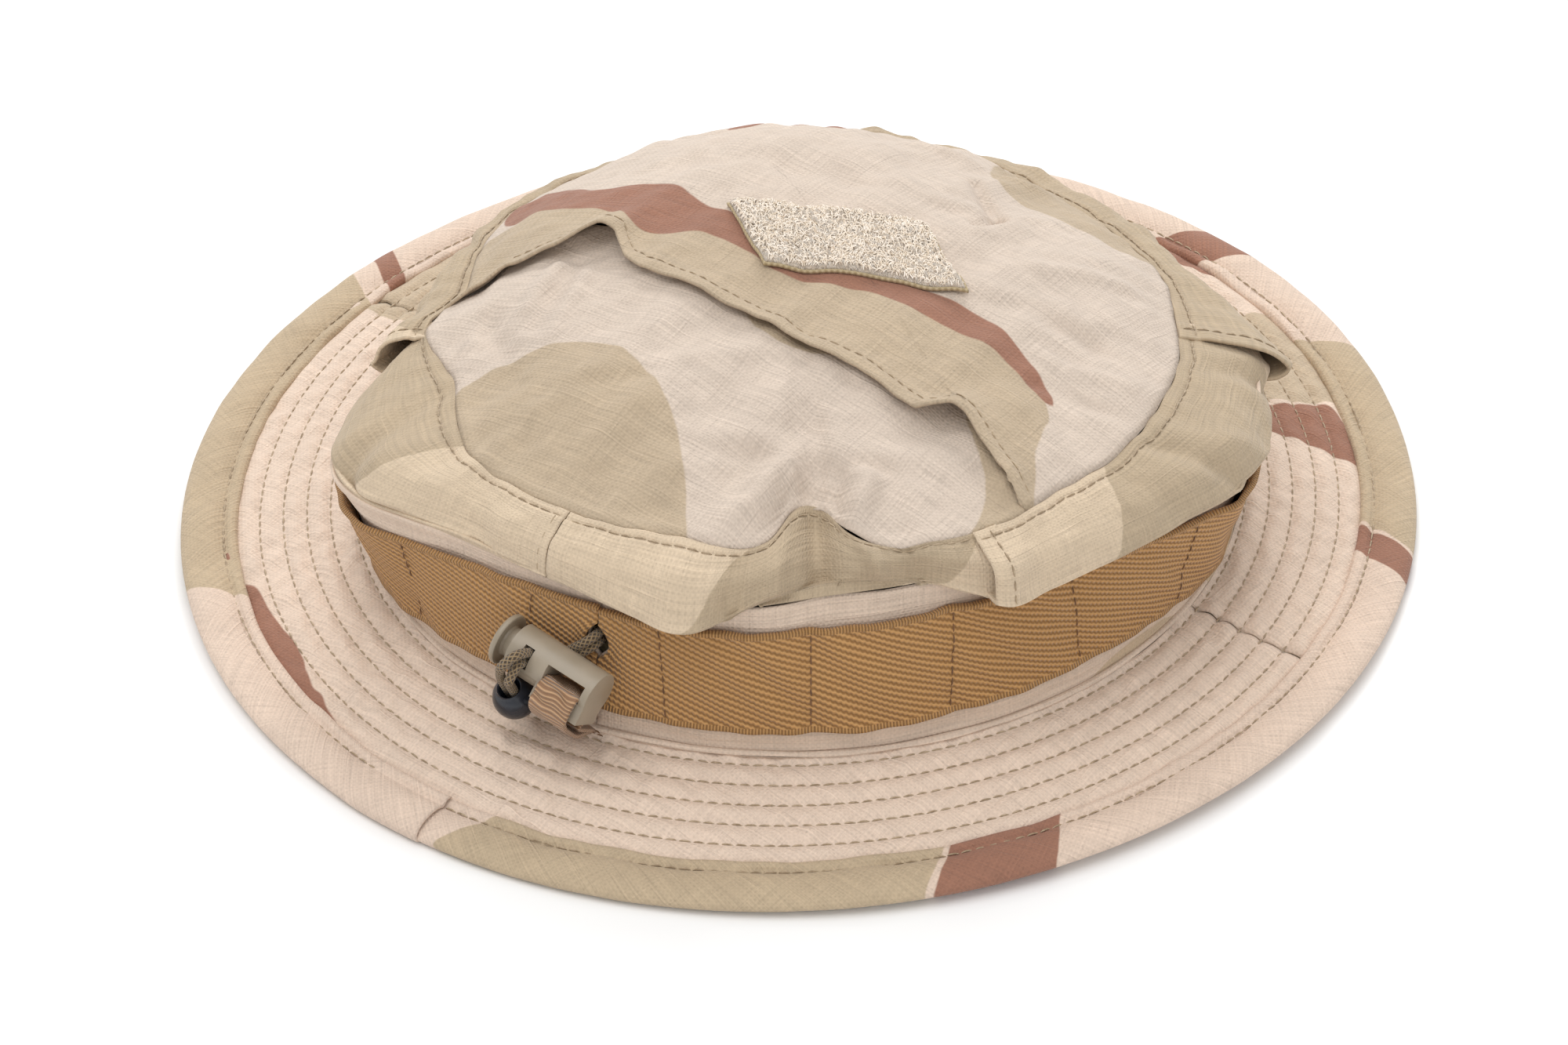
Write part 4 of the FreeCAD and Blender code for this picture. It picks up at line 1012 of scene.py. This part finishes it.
bandRows = [
    bandRow(36.5, 92, 0.085, tuck=lambda d: 4.5 * hump(apart(d, 36), 7)),
    bandRow(93, 147.5, 0.085, tuck=lambda d: 3.2 * hump(apart(d, 151), 5)),
    bandRow(148.3, 208.5, 0.085, flare=lambda d: 2.6 * hump(apart(d, 148), 4),
            tuck=lambda d: 3.5 * hump(apart(d, 215), 5)),
    bandRow(209.3, 400, 0.085, flare=lambda d: 3.5 * hump(apart(d, 209), 5) + 3.6 * hump(apart(d, 400), 6)),
    endRow(148, 2.6 * float(hump(2.3, 4)), 0.0, 2.3),
    endRow(209, 3.5 * float(hump(2.3, 5)), 0.0, 2.3),
    endRow(400.5, 3.6 * float(hump(2.3, 6)), 0.0, -2.3),
    endRow(92.35, 0.0, 0.0, -1.2, 0.1, 0.62),
]
print("the side band is folded over")


# ---- crown top: a rear panel that runs under the hemmed flap of the front panel
crownTop = {
    "height": 70.3,
    "tilt": 0.05,
    # x, y, width, height
    "humps": [
        (43, -30, 26, 3.4), (12, -45, 26, 2.6), (-50, -40, 14, 2.5), (-66, -32, 9, 1.6),
        (-8, -6, 22, 0.8), (-35, -62, 10, -2.0), (30, 30, 14, -1.4), (60, -10, 14, -2.0),
    ],
    # from, to, width, height
    "creases": [
        ((-15, 66), (-62, 43), 2.6, -0.9), ((-20, 60), (-55, 42), 4.0, 0.9),
        ((43, 26), (37, 50), 2.2, -1.3), ((47, 29), (43, 46), 1.8, 1.2),
        ((38, 30), (31, 52), 2.0, 1.0), ((52, 50), (40, 58), 3.0, -1.2),
        ((-12, -53), (-25, -42), 1.8, -2.4), ((-25, -42), (-24, -35), 1.8, -2.2),
        ((-18, -40), (-12, -34), 3, 1.1), ((-44, 65), (-38, 58), 1.8, 1.7),
        ((-51, 62), (-47, 53), 1.8, -1.5), ((-57, 62), (-55, 52), 2.2, 1.2),
        ((-20, 30), (20, 62), 3.5, 0.8), ((60, 40), (30, 66), 3.0, -0.9),
        ((62, 30), (48, 62), 2.4, 0.9), ((10, -30), (50, -10), 4.0, -0.9),
        ((-60, -20), (-30, -10), 3.5, 1.0), ((-49, -15), (-66, -18), 3.2, -1.8),
        ((-44, -30), (-58, -44), 3.0, 1.4), ((-36, 56), (-37, 78), 3.4, 2.6),
        ((-52, 52), (-59, 66), 3.6, 2.6), ((-44, 60), (-46, 74), 2.6, -3.0),
        ((0, 60), (26, 76), 5, 0.7), ((-65, 4), (-84, -2), 2.4, -1.2),
        ((-64, -4), (-83, -12), 2.6, 1.2), ((20, -22), (-20, -36), 3, -0.8),
        ((10, -60), (-20, -72), 3, 1.2), ((40, -55), (60, -40), 3.4, -1.4),
    ],
    "flap": {-90: 39.5, -82: 36, -70: 30, -61: 26, -57: 26, -51: 31, -42: 29, -34: 28, -26: 29, -16: 29.5,
             -4: 28, 6: 28.5, 18: 27.5, 25: 27.5, 31: 25, 38: 19, 43: 19, 46: 21, 50: 26, 55: 28.5, 60: 31,
             64: 39, 70: 46, 76: 52},
}


def seamShare(x, y):
    degrees = np.degrees(np.arctan2(y, x))
    return np.hypot(x, y) / around(crown["seam radius"], degrees), degrees


def topHeight(x, y):
    share, degrees = seamShare(x, y)
    share = np.clip(share, 0, 1)
    edge = seamHeight(degrees)
    z = crownTop["height"] + crownTop["tilt"] * x
    for humpX, humpY, width, height in crownTop["humps"]:
        z = z + height * hump(np.hypot(x - humpX, y - humpY), width)
    z = edge + (z - edge) * (1 - share ** 2.5)
    for start, end, width, height in crownTop["creases"]:
        z = z + height * hump(toSegment(x, y, start, end), width) * np.clip((1.03 - share) * 9, 0, 1)
    fine = 0.72 * wobble(81, x, y, 24) + 0.2 * wobble(82, x, y, 9)
    return z + fine * np.clip((1 - share) * 12, 0, 1)


flapX = np.array(sorted(crownTop["flap"]), float)
flapY = np.array([crownTop["flap"][int(x)] for x in flapX], float)


def flapLine(x):
    return np.interp(x, flapX, flapY)


def underLap(x):
    # how far the rear panel runs under the flap
    return 8 + 14 * (x / 80) ** 2


def outlineOf(front):
    # plan outline of a top panel, counterclockwise
    degrees = np.linspace(0, 360, 1441)[:-1]
    seam = polar(degrees, around(crown["seam radius"], degrees), 0)[:, :2]
    if front:
        keep = seam[:, 1] <= flapLine(seam[:, 0])
    else:
        keep = seam[:, 1] >= underLap(seam[:, 0])
    first = np.where(keep & ~np.roll(keep, 1))[0][0]
    arc = np.roll(seam, -first, axis=0)[np.roll(keep, -first)]
    across = np.linspace(arc[-1][0], arc[0][0], 240)[1:-1]
    line = np.stack([across, flapLine(across) if front else underLap(across)], 1)
    ends = (arc[-1][1] - line[0][1], arc[0][1] - line[-1][1])
    fade = np.linspace(0, 1, len(line))
    line[:, 1] += ends[0] * hump(fade, 0.03) + ends[1] * hump(1 - fade, 0.03)
    return np.concatenate([arc, line])


def even(outline, count):
    loop = np.concatenate([outline, outline[:1]])
    steps = np.concatenate([[0], np.cumsum(np.linalg.norm(np.diff(loop, axis=0), axis=1))])
    at = np.linspace(0, steps[-1], count + 1)[:-1]
    return np.stack([np.interp(at, steps, loop[:, k]) for k in range(2)], 1)


topBrown = [
    [(77, 11), (66, 9), (57, 10), (49, 9), (42, 11), (36, 14), (29, 14), (24, 10), (14, 9), (6, 10),
     (0, 13), (-8, 11), (-14, 9), (-24, 5), (-36, 4), (-49, 2), (-60, 4), (-74, 9), (-65, 1), (-55, -3),
     (-42, -6), (-29, -4), (-19, 1), (-8, 4), (4, 5), (11, 3), (20, 0), (30, -1), (38, -4), (49, -3),
     (56, 0), (64, -3), (77, -7), (84, 0)],
    [(20, -70), (44, -58), (58, -44), (50, -66), (24, -84)],
]
topKhaki = [
    [(90, 60), (84, 40), (80, 14), (66, 8), (57, 8), (49, 7), (42, 9), (29, 12), (24, 8), (14, 8), (0, 11),
     (-14, 7), (-24, 3), (-36, 2), (-49, 1), (-60, 3), (-73, 9), (-74, 16), (-77, 23), (-82, 30), (-92, 50),
     (-70, 44), (-50, 45), (-16, 38), (14, 34), (36, 34), (44, 44)],
    [(-10, -60), (-30, -56), (-52, -62), (-60, -74), (-30, -90), (0, -84)],
]
rearKhaki = [
    [(48, 92), (45, 76), (42, 68), (36, 60), (30, 55), (21, 50), (11, 50), (0, 55), (-9, 61), (-17, 69),
     (-26, 80), (-33, 90), (-24, 104), (30, 104)],
    [(-56, 20), (-65, 28), (-72, 34), (-77, 43), (-78, 52), (-86, 60), (-96, 50), (-90, 34),
     (-80, 28), (-68, 16)],
    [(6, 16), (-3, 27), (-14, 31), (-24, 29), (-34, 20), (-16, 8)],
]


def flapStand(x, toFlap):
    # the flap's free edge stands up in two places
    return (3.2 * hump(x - 42, 6.5) * hump(toFlap, 9) + 2.8 * hump(x + 57, 5.5) * hump(toFlap, 8)
            + 0.9 * hump(toFlap, 5))


def topPanel(name, front, nodes, khaki, brown):
    edge = even(outlineOf(front), 560)
    middle = np.array([38.0, -30.0] if front else [-5.0, 30.0])
    rings = np.linspace(0, 1, 72) ** 0.85
    flat = middle[None, None] + rings[:, None, None] * (edge - middle)[None]
    x, y = flat[..., 0], flat[..., 1]
    z = topHeight(x, y)
    toFlap = flapLine(x) - y
    share, degrees = seamShare(x, y)
    inner = np.clip((1 - share) * 14, 0, 1)
    if front:
        hem = 0.5 / (1 + np.exp((toFlap - 4.6) / 0.3)) - 0.45 * hump(toFlap - 3.6, 0.7)
        z = z + (1.15 + hem + flapStand(x, toFlap)) * inner + 0.15
    else:
        sink = 1.8 * hump(x - 42, 9) * hump(toFlap, 7) + 1.8 * hump(x + 57, 8) * hump(toFlap, 7)
        z = z - (0.25 + sink) * inner
    z = z + 0.5 * hump((1 - share) * 90 - 1.6, 1.3) - 0.2
    points = np.stack([x, y, z], -1)
    marks = {"khaki": deepest(x, y, khaki), "brown": deepest(x, y, brown)}
    clothPiece(name, points, planUv(points, 1), 0.75, camoCloth, nodes, marks, closed=True,
               middle=True)


topPanel("crownTopFront", True, ["crown_top_front"], topKhaki, topBrown)
topPanel("crownTopRear", False, ["crown_top_rear"], rearKhaki, [])


def flapRow(inset):
    x = np.linspace(-82, 66, 400)
    y = flapLine(x) - inset
    share = np.clip((1 - seamShare(x, y)[0]) * 14, 0, 1)
    z = topHeight(x, y) + (1.2 + flapStand(x, inset)) * share
    return np.stack([x, y, z], 1), np.tile([0, 0, 1.0], (len(x), 1))


stitches("crownTopstitching", bandRows + [flapRow(3.6)], sewingThread,
         ["crown_topstitch_thread"], seed=9)


def seamTape():
    d, s = np.meshgrid(footDegrees, np.linspace(0, 1, 5))
    points = polar(d, around(crown["seam radius"], d) - 1.4, seamHeight(d) - 1.6 - 4.4 * s)
    clothPiece("seamTape", points, bandUv(points, True), 0.6, sweatbandCloth,
               ["top_seam_tape"], closed=True)


seamTape()
print("the crown top is closed")


# ---- loop patch on the front panel
patch = {"middle": (-8.8, -4.8), "size": (48, 26), "along": (0.844, 0.448), "across": (-0.788, 0.558),
         "border": 2.0, "stitch inset": 2.5, "pile": 1.3, "loops": 3800}


def patchPlace(u, v):
    x = patch["middle"][0] + u * patch["along"][0] + v * patch["across"][0]
    y = patch["middle"][1] + u * patch["along"][1] + v * patch["across"][1]
    return x, y


def patchBase(x, y):
    return topHeight(x, y) + 1.35


halfLong, halfWide = patch["size"][0] / 2, patch["size"][1] / 2


def cornerLift(u, v):
    return 0.8 * hump(np.hypot(u + halfLong, v - halfWide), 7) + 0.4 * hump(np.hypot(u - halfLong,
                                                                                     v - halfWide), 6)


def patchBacking():
    v, u = np.meshgrid(np.linspace(halfWide, -halfWide, 60), np.linspace(-halfLong, halfLong, 110),
                       indexing="ij")
    x, y = patchPlace(u, v)
    points = np.stack([x, y, patchBase(x, y) + 0.75 + cornerLift(u, v)], -1)
    return clothPiece("patchBacking", points, np.stack([u, v], -1), 0.8, patchCloth,
                      ["patch_backing"])


def pileMaterial():
    # brushed loops, soft and very matt
    material, tree, shader = startMaterial("nylonPileGround", 0.95, sheen=0.3)
    coords, u, v = clothAxes(tree)
    fibres = addNode(tree, "TexNoise", {"Vector": coords, "Scale": 1.6, "Detail": 5.0, "Distortion": 2.5})
    curls = addNode(tree, "TexVoronoi", {"Vector": coords, "Scale": 1.3, "Randomness": 1.0})
    curled = calc(tree, "MULTIPLY_ADD", curls.outputs["Distance"], -0.35, 0.1)
    mixed = calc(tree, "ADD", fibres.outputs["Fac"], curled)
    tree.links.new(blendColours(tree, spread(tree, mixed, 0.3, 0.62), linear("#DDCDBA"), linear("#FAF0E4")),
                   shader.inputs["Base Color"])
    bump = addNode(tree, "Bump", {"Height": mixed, "Strength": 1.0, "Distance": 0.0008})
    tree.links.new(bump.outputs[0], shader.inputs["Normal"])
    return material


def patchPile():
    wide, long = halfWide - 0.5, halfLong - 0.5
    v, u = np.meshgrid(np.linspace(wide, -wide, 110), np.linspace(-long, long, 200), indexing="ij")
    x, y = patchPlace(u, v)
    inward = np.minimum(long - np.abs(u), wide - np.abs(v))
    fluff = np.clip(inward / 1.2, 0, 1) ** 0.5
    stitchDent = 0.8 * hump(inward - patch["border"], 0.45)
    tuft = 0.28 * wobble(91, u, v, 2.6, 14) + 0.22 * wobble(92, u, v, 1.2, 14)
    z = patchBase(x, y) + 0.72 + cornerLift(u, v) + fluff * (patch["pile"] + tuft) - stitchDent
    clothPiece("patchPile", np.stack([x, y, z], -1), np.stack([u, v], -1), 0.6, pileMaterial(),
               ["patch_pile"])


def pileLoops():
    # short curled fibres that stand out of the pile
    draw = np.random.default_rng(5)
    count, rings, sides = patch["loops"], 5, 3
    u = draw.uniform(-halfLong + 1.0, halfLong - 1.0, count)
    v = draw.uniform(-halfWide + 1.0, halfWide - 1.0, count)
    x, y = patchPlace(u, v)
    ground = patchBase(x, y) + 0.75 + patch["pile"] - 0.25
    heading = draw.uniform(0, 2 * math.pi, count)
    length, height = draw.uniform(0.9, 2.0, count), draw.uniform(0.3, 0.85, count)
    bend = draw.uniform(-1.2, 1.2, count)
    points = np.zeros((count, rings, sides, 3))
    for i in range(rings):
        t = i / (rings - 1)
        direction = heading + bend * t
        middleLine = np.stack([x + np.cos(direction) * length * (t - 0.5), y + np.sin(direction) * length
                               * (t - 0.5), ground + height * math.sin(math.pi * t)], 1)
        across = np.stack([-np.sin(direction), np.cos(direction), 0 * x], 1)
        for j in range(sides):
            angle = 2 * math.pi * j / sides
            points[:, i, j] = middleLine + 0.14 * (across * math.cos(angle) + np.array([0, 0, 1.0])
                                                   * math.sin(angle))
    base = (np.arange(count) * rings * sides)[:, None, None, None]
    i, j = np.meshgrid(np.arange(rings - 1), np.arange(sides), indexing="ij")
    quad = np.stack([i * sides + j, i * sides + (j + 1) % sides, (i + 1) * sides + (j + 1) % sides,
                     (i + 1) * sides + j], -1)[None]
    quads = (quad + base).reshape(-1, 4)
    lids = np.stack([base.ravel() + 2, base.ravel() + 1, base.ravel()], 1)
    lastRing = (rings - 1) * sides
    ends = np.stack([base.ravel() + lastRing, base.ravel() + lastRing + 1, base.ravel() + lastRing + 2], 1)
    mesh = bpy.data.meshes.new("patchLoops")
    mesh.from_pydata((points.reshape(-1, 3) * mm).tolist(), [], quads.tolist() + lids.tolist()
                     + ends.tolist())
    piece = bpy.data.objects.new("patchLoops", mesh)
    bpy.context.collection.objects.link(piece)
    return finishPiece(piece, pileFibre, [], "hat")


def patchRow(u, v):
    x, y = patchPlace(u, v)
    path = np.stack([x, y, patchBase(x, y) + 1.5 + cornerLift(u, v)], 1)
    return path, np.tile([0, 0, 1.0], (len(path), 1))


def patchStitches():
    long, wide = halfLong - patch["stitch inset"], halfWide - patch["stitch inset"]
    u, v = np.linspace(-long, long, 120), np.linspace(-wide, wide, 80)
    rows = [patchRow(u, 0 * u + wide), patchRow(u, 0 * u - wide), patchRow(0 * v + long, v),
            patchRow(0 * v - long, v)]
    stitches("patchStitches", rows, sewingThread, thread=0.34)


backingPiece = patchBacking()
patchPile()
pileLoops()
patchStitches()
print("the patch is sewn on")


# ---- cord lock, its ribbon and the cord
lock = {"centre": (-12.9, 109.2, 27.0), "tilt": -11, "roll": 35,
        "bore floor": 1.1, "spring pressed": 0.25}
lockTilt = Matrix.Rotation(math.radians(lock["tilt"]), 3, "Y")
lockTurn = lockTilt @ Matrix.Rotation(math.radians(lock["roll"]), 3, "X")
lockAxes = np.array(lockTurn)
lockCentre = np.array(lock["centre"])


def lockPoint(x, y, z):
    return lockCentre + lockAxes @ np.array([x, y, z], float)


def fromCad(name, node, bevel, material, body, segments=3):
    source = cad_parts[node]
    piece = bpy.data.objects.new(name, source.data.copy())
    bpy.context.collection.objects.link(piece)
    piece.data.transform(source.matrix_world)
    alone(piece)
    bpy.ops.object.mode_set(mode="EDIT")
    bpy.ops.mesh.select_all(action="SELECT")
    bpy.ops.mesh.remove_doubles(threshold=1e-6)
    bpy.ops.mesh.dissolve_limited(angle_limit=math.radians(1.5))
    bpy.ops.object.mode_set(mode="OBJECT")
    rounding = piece.modifiers.new("rounding", "BEVEL")
    rounding.width = bevel * mm
    rounding.segments = segments
    rounding.angle_limit = math.radians(38)
    rounding.use_clamp_overlap = True
    bpy.ops.object.modifier_apply(modifier="rounding")
    bpy.ops.object.shade_smooth_by_angle(angle=math.radians(32))
    return finishPiece(piece, material, [node], body)


def lathe(name, profile, centre, axis, steps, material, nodes, body):
    # profile is (distance along the axis, radius); it is spun into a closed turned part
    mesh = bpy.data.meshes.new(name)
    mesh.from_pydata([(0, r * mm, x * mm) for x, r in profile],
                     [(i, i + 1) for i in range(len(profile) - 1)], [])
    piece = bpy.data.objects.new(name, mesh)
    bpy.context.collection.objects.link(piece)
    alone(piece)
    bpy.ops.object.mode_set(mode="EDIT")
    bpy.ops.mesh.select_all(action="SELECT")
    bpy.ops.mesh.spin(steps=steps, angle=2 * math.pi, center=(0, 0, 0), axis=(0, 0, 1))
    bpy.ops.mesh.select_all(action="SELECT")
    bpy.ops.mesh.remove_doubles(threshold=1e-6)
    bpy.ops.mesh.normals_make_consistent(inside=False)
    bpy.ops.object.mode_set(mode="OBJECT")
    turn = Vector((0, 0, 1)).rotation_difference(Vector(axis)).to_matrix().to_4x4()
    piece.data.transform(Matrix.Translation(Vector(centre) * mm) @ turn)
    bpy.ops.object.shade_smooth_by_angle(angle=math.radians(40))
    return finishPiece(piece, material, nodes, body)


fromCad("lockBarrel", "cord_lock_barrel", 0.55, lockPlastic, "cord_lock")
plungerProfile = [(4.4, 0.0), (4.4, 3.2), (4.9, 3.65), (11.2, 3.65), (12.2, 3.5), (12.9, 3.3), (13.35, 3.6),
                  (13.45, 4.3), (13.4, 5.0), (13.3, 5.3), (13.3, 5.6), (13.4, 5.85), (13.7, 6.0),
                  (14.3, 5.95), (14.7, 5.6), (14.9, 5.0), (14.95, 3.6), (15.0, 1.8), (15.0, 0.0)]
lathe("lockPlunger", plungerProfile, lock["centre"], lockTurn @ Vector((1, 0, 0)), 72, lockPlastic,
      ["cord_lock_plunger"], "plunger")
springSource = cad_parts["cord_lock_spring"]
spring = bpy.data.objects.new("lockSpring", springSource.data.copy())
bpy.context.collection.objects.link(spring)
spring.data.transform(springSource.matrix_world)
alone(spring)
bpy.ops.object.mode_set(mode="EDIT")
bpy.ops.mesh.select_all(action="SELECT")
bpy.ops.mesh.remove_doubles(threshold=1e-6)
bpy.ops.object.mode_set(mode="OBJECT")
bpy.ops.object.shade_smooth()
finishPiece(spring, springSteel, ["cord_lock_spring"], "cord_lock")
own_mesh(spring)

bead = {"centre": (-3.2, 112.4, 17.6), "lean": -26, "radius": 4.9, "hole": 2.4}
beadTurn = Matrix.Rotation(math.radians(bead["lean"]), 3, "X")
beadAxis = np.array(beadTurn @ Vector((0, 0, 1)))
beadCentre = np.array(bead["centre"])
beadAngles = np.linspace(math.asin(bead["hole"] / bead["radius"]) + 0.12, math.pi, 22)
beadProfile = [(-2.9, 0.0), (-2.9, bead["hole"] - 0.25), (-2.6, bead["hole"])]
beadProfile += [(3.7, bead["hole"]), (4.15, bead["hole"] + 0.12), (4.3, bead["hole"] + 0.35)]
beadProfile += [(bead["radius"] * math.cos(a), bead["radius"] * math.sin(a)) for a in beadAngles[:-1]]
beadProfile += [(-bead["radius"], 0.0)]
lathe("cordBead", beadProfile, bead["centre"], beadAxis, 64, beadRubber, ["cord_end_bead"],
      "cord_tail")


def smoothPath(points, perBend=12, cut=0.4):
    # straight runs joined by short bends
    points = [np.array(p, float) for p in points]
    path = [points[0]]
    for before, corner, after in zip(points, points[1:], points[2:]):
        start, end = corner + (before - corner) * cut, corner + (after - corner) * cut
        for k in range(perBend + 1):
            t = k / perBend
            path.append((1 - t) ** 2 * start + 2 * t * (1 - t) * corner + t * t * end)
    path.append(points[-1])
    return np.array(path)


def cordTube(name, path, diameter, closed=False, sides=18):
    ahead = np.roll(path, -1, 0) - np.roll(path, 1, 0) if closed else np.gradient(path, axis=0)
    ahead /= np.linalg.norm(ahead, axis=1)[:, None]
    side = np.cross(ahead[0], [0.3, 0.2, 1.0])
    sideList = []
    for direction in ahead:
        side = side - direction * np.dot(side, direction)
        side /= np.linalg.norm(side)
        sideList.append(side.copy())
    side = np.array(sideList)
    upward = np.cross(ahead, side)
    angle = np.linspace(0, 2 * math.pi, sides + 1)[:-1]
    along = np.concatenate([[0], np.cumsum(np.linalg.norm(np.diff(path, axis=0), axis=1))])
    relief = 0.05 * np.maximum(np.sin(2 * math.pi / 1.1 * along[:, None] + 4 * angle[None]),
                               np.sin(2 * math.pi / 1.1 * along[:, None] - 4 * angle[None]))
    radius = diameter / 2 - 0.05 + relief
    points = path[:, None] + radius[..., None] * (side[:, None] * np.cos(angle)[None, :, None]
                                                  + upward[:, None] * np.sin(angle)[None, :, None])
    rows, columns = points.shape[:2]
    spans = rows if closed else rows - 1
    r, c = np.meshgrid(np.arange(spans), np.arange(columns), indexing="ij")
    r, c = r.ravel(), c.ravel()
    nextRow, nextColumn = (r + 1) % rows, (c + 1) % columns
    faces = np.stack([r * columns + c, r * columns + nextColumn, nextRow * columns + nextColumn,
                      nextRow * columns + c], 1)
    columnWidth = math.pi * diameter / columns
    longUv = np.append(along, along[-1] + 1)
    corners = np.stack([np.stack([longUv[r], c * columnWidth], 1),
                        np.stack([longUv[r], (c + 1) * columnWidth], 1),
                        np.stack([longUv[r + 1], (c + 1) * columnWidth], 1),
                        np.stack([longUv[r + 1], c * columnWidth], 1)], 1)
    piece = meshPiece(name, points, faces, corners)
    if not closed:
        builder = bmesh.new()
        builder.from_mesh(piece.data)
        bmesh.ops.holes_fill(builder, edges=[e for e in builder.edges if e.is_boundary], sides=0)
        bmesh.ops.recalc_face_normals(builder, faces=builder.faces[:])
        builder.to_mesh(piece.data)
        builder.free()
    elif piece.data.polygons[0].normal.dot(Vector(points[0, 0] - path[0])) < 0:
        piece.data.flip_normals()
    return piece


cord = {"diameter": 2.2, "apart": 1.175, "hole": 6.3, "inside wall": 2.3, "tails": {1: 37.0, -1: 30.7}}
ringDegrees = np.linspace(0, 360, 361)[:-1]
ringPath = polar(ringDegrees, wallRadius(ringDegrees, slit["height"]) - cord["inside wall"], slit["height"])
ringPiece = cordTube("drawcordRing", ringPath, cord["diameter"], closed=True, sides=10)
finishPiece(ringPiece, cordSleeve, ["drawcord"], "hat")

alongBarrel = lockAxes[:, 0]
for side in (1, -1):
    up = side * cord["apart"]
    tunnel = np.array([-16.0, math.sqrt(max(0, float(wallRadius(slit["angle"], 31.0)) ** 2 - 256))
                       - 2.3, 31.0 + up])
    outside = np.array([-15.8, tunnel[1] + 6.2, 31.0 + up])
    mouth = lockPoint(cord["hole"] - 2.2, -5.2, up)
    deeper = lockPoint(cord["hole"] - 0.6, -2.6, up)
    strand = cordTube(f"drawcordStrand{'Upper' if side > 0 else 'Lower'}",
                      smoothPath([tunnel, outside, mouth, deeper]), cord["diameter"])
    finishPiece(strand, cordSleeve, [], None)
    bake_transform(strand)

beadSide = alongBarrel - beadAxis * np.dot(alongBarrel, beadAxis)
beadSide /= np.linalg.norm(beadSide)
for side in (1, -1):
    up = side * cord["apart"]
    inside = lockPoint(cord["hole"], -5.1, up)
    outside = lockPoint(cord["hole"], 7.3 + (2.35 if side > 0 else 0), up)
    over = outside + np.array([1.6, 2.9, -3.2]) + alongBarrel * up
    aboveBead = beadCentre + beadAxis * 7.5 + beadSide * up
    inBead = beadCentre - beadAxis * 2.45 + beadSide * up
    path = smoothPath([inside, outside, over, aboveBead, inBead])
    tail = cordTube(f"drawcordTail{'Outer' if side > 0 else 'Inner'}", path, cord["diameter"])
    finishPiece(tail, cordSleeve, ["drawcord_tail"], "cord_tail")

ribbon = {"width": 9.6, "thick": 0.85, "from": -9.0}
sewn = np.array([-16.8, 104.5, 9.9])
sewnLocal = lockAxes.T @ (sewn - lockCentre)
loopLine = [(sewnLocal[1] + 0.2, sewnLocal[2] - 0.3), (-3.0, -9.5), (-5.6, -5.6), (-5.5, -3.2),
            (-3.6, -2.05), (0.0, -1.95), (3.6, -2.0), (5.35, -3.0), (5.6, -5.2), (5.15, -7.3), (2.4, -9.0),
            ((sewnLocal[1] + 5) / 2, (sewnLocal[2] - 8) / 2 - 1.2),
            (sewnLocal[1] + 1.1, sewnLocal[2] + 0.7)]
loopLine = curveThrough(loopLine, 120)
acrossRibbon = np.linspace(0, 1, 22)
ribbonPoints = np.zeros((120, 22, 3))
for i, (ly, lz) in enumerate(loopLine):
    for j, share in enumerate(acrossRibbon):
        wave = 0.16 * math.sin(share * 9 + i * 0.21) + 0.1 * math.sin(i * 0.5 + share * 4)
        ribbonPoints[i, j] = lockPoint(ribbon["from"] + ribbon["width"] * share, ly + wave * 0.7, lz + wave)
ribbonUv = bandUv(ribbonPoints, False)
ribbonPiece = clothPiece("lockRibbon", ribbonPoints, ribbonUv, ribbon["thick"], ribbonWeave,
                         ["lock_ribbon"], body=None)
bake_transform(ribbonPiece)

tackPath = np.stack([np.linspace(-21.3, -12.3, 30), 105.3 + 0.35 * np.sin(np.linspace(0, 25, 30)),
                     np.full(30, 10.6)], 1)
stitches("ribbonTack", [(tackPath, np.tile([0, 0.3, 1.0], (30, 1)))], elasticThread,
         ["lock_ribbon_tack"], pitch=1.2, length=1.4, thread=0.36)
print("the cord lock hangs on its ribbon")


# ---- floor
floorMesh = bpy.data.meshes.new("paleFloor")
floorMesh.from_pydata([(-6, -6, 0), (6, -6, 0), (6, 6, 0), (-6, 6, 0)], [], [(0, 1, 2, 3)])
floor = bpy.data.objects.new("paleFloor", floorMesh)
bpy.context.collection.objects.link(floor)
floorMaterial, floorTree, floorShader = startMaterial("paleFloor", 0.9)
floorShader.inputs["Base Color"].default_value = (0.93, 0.93, 0.93, 1)
floor.data.materials.append(floorMaterial)

print("the hat is finished")
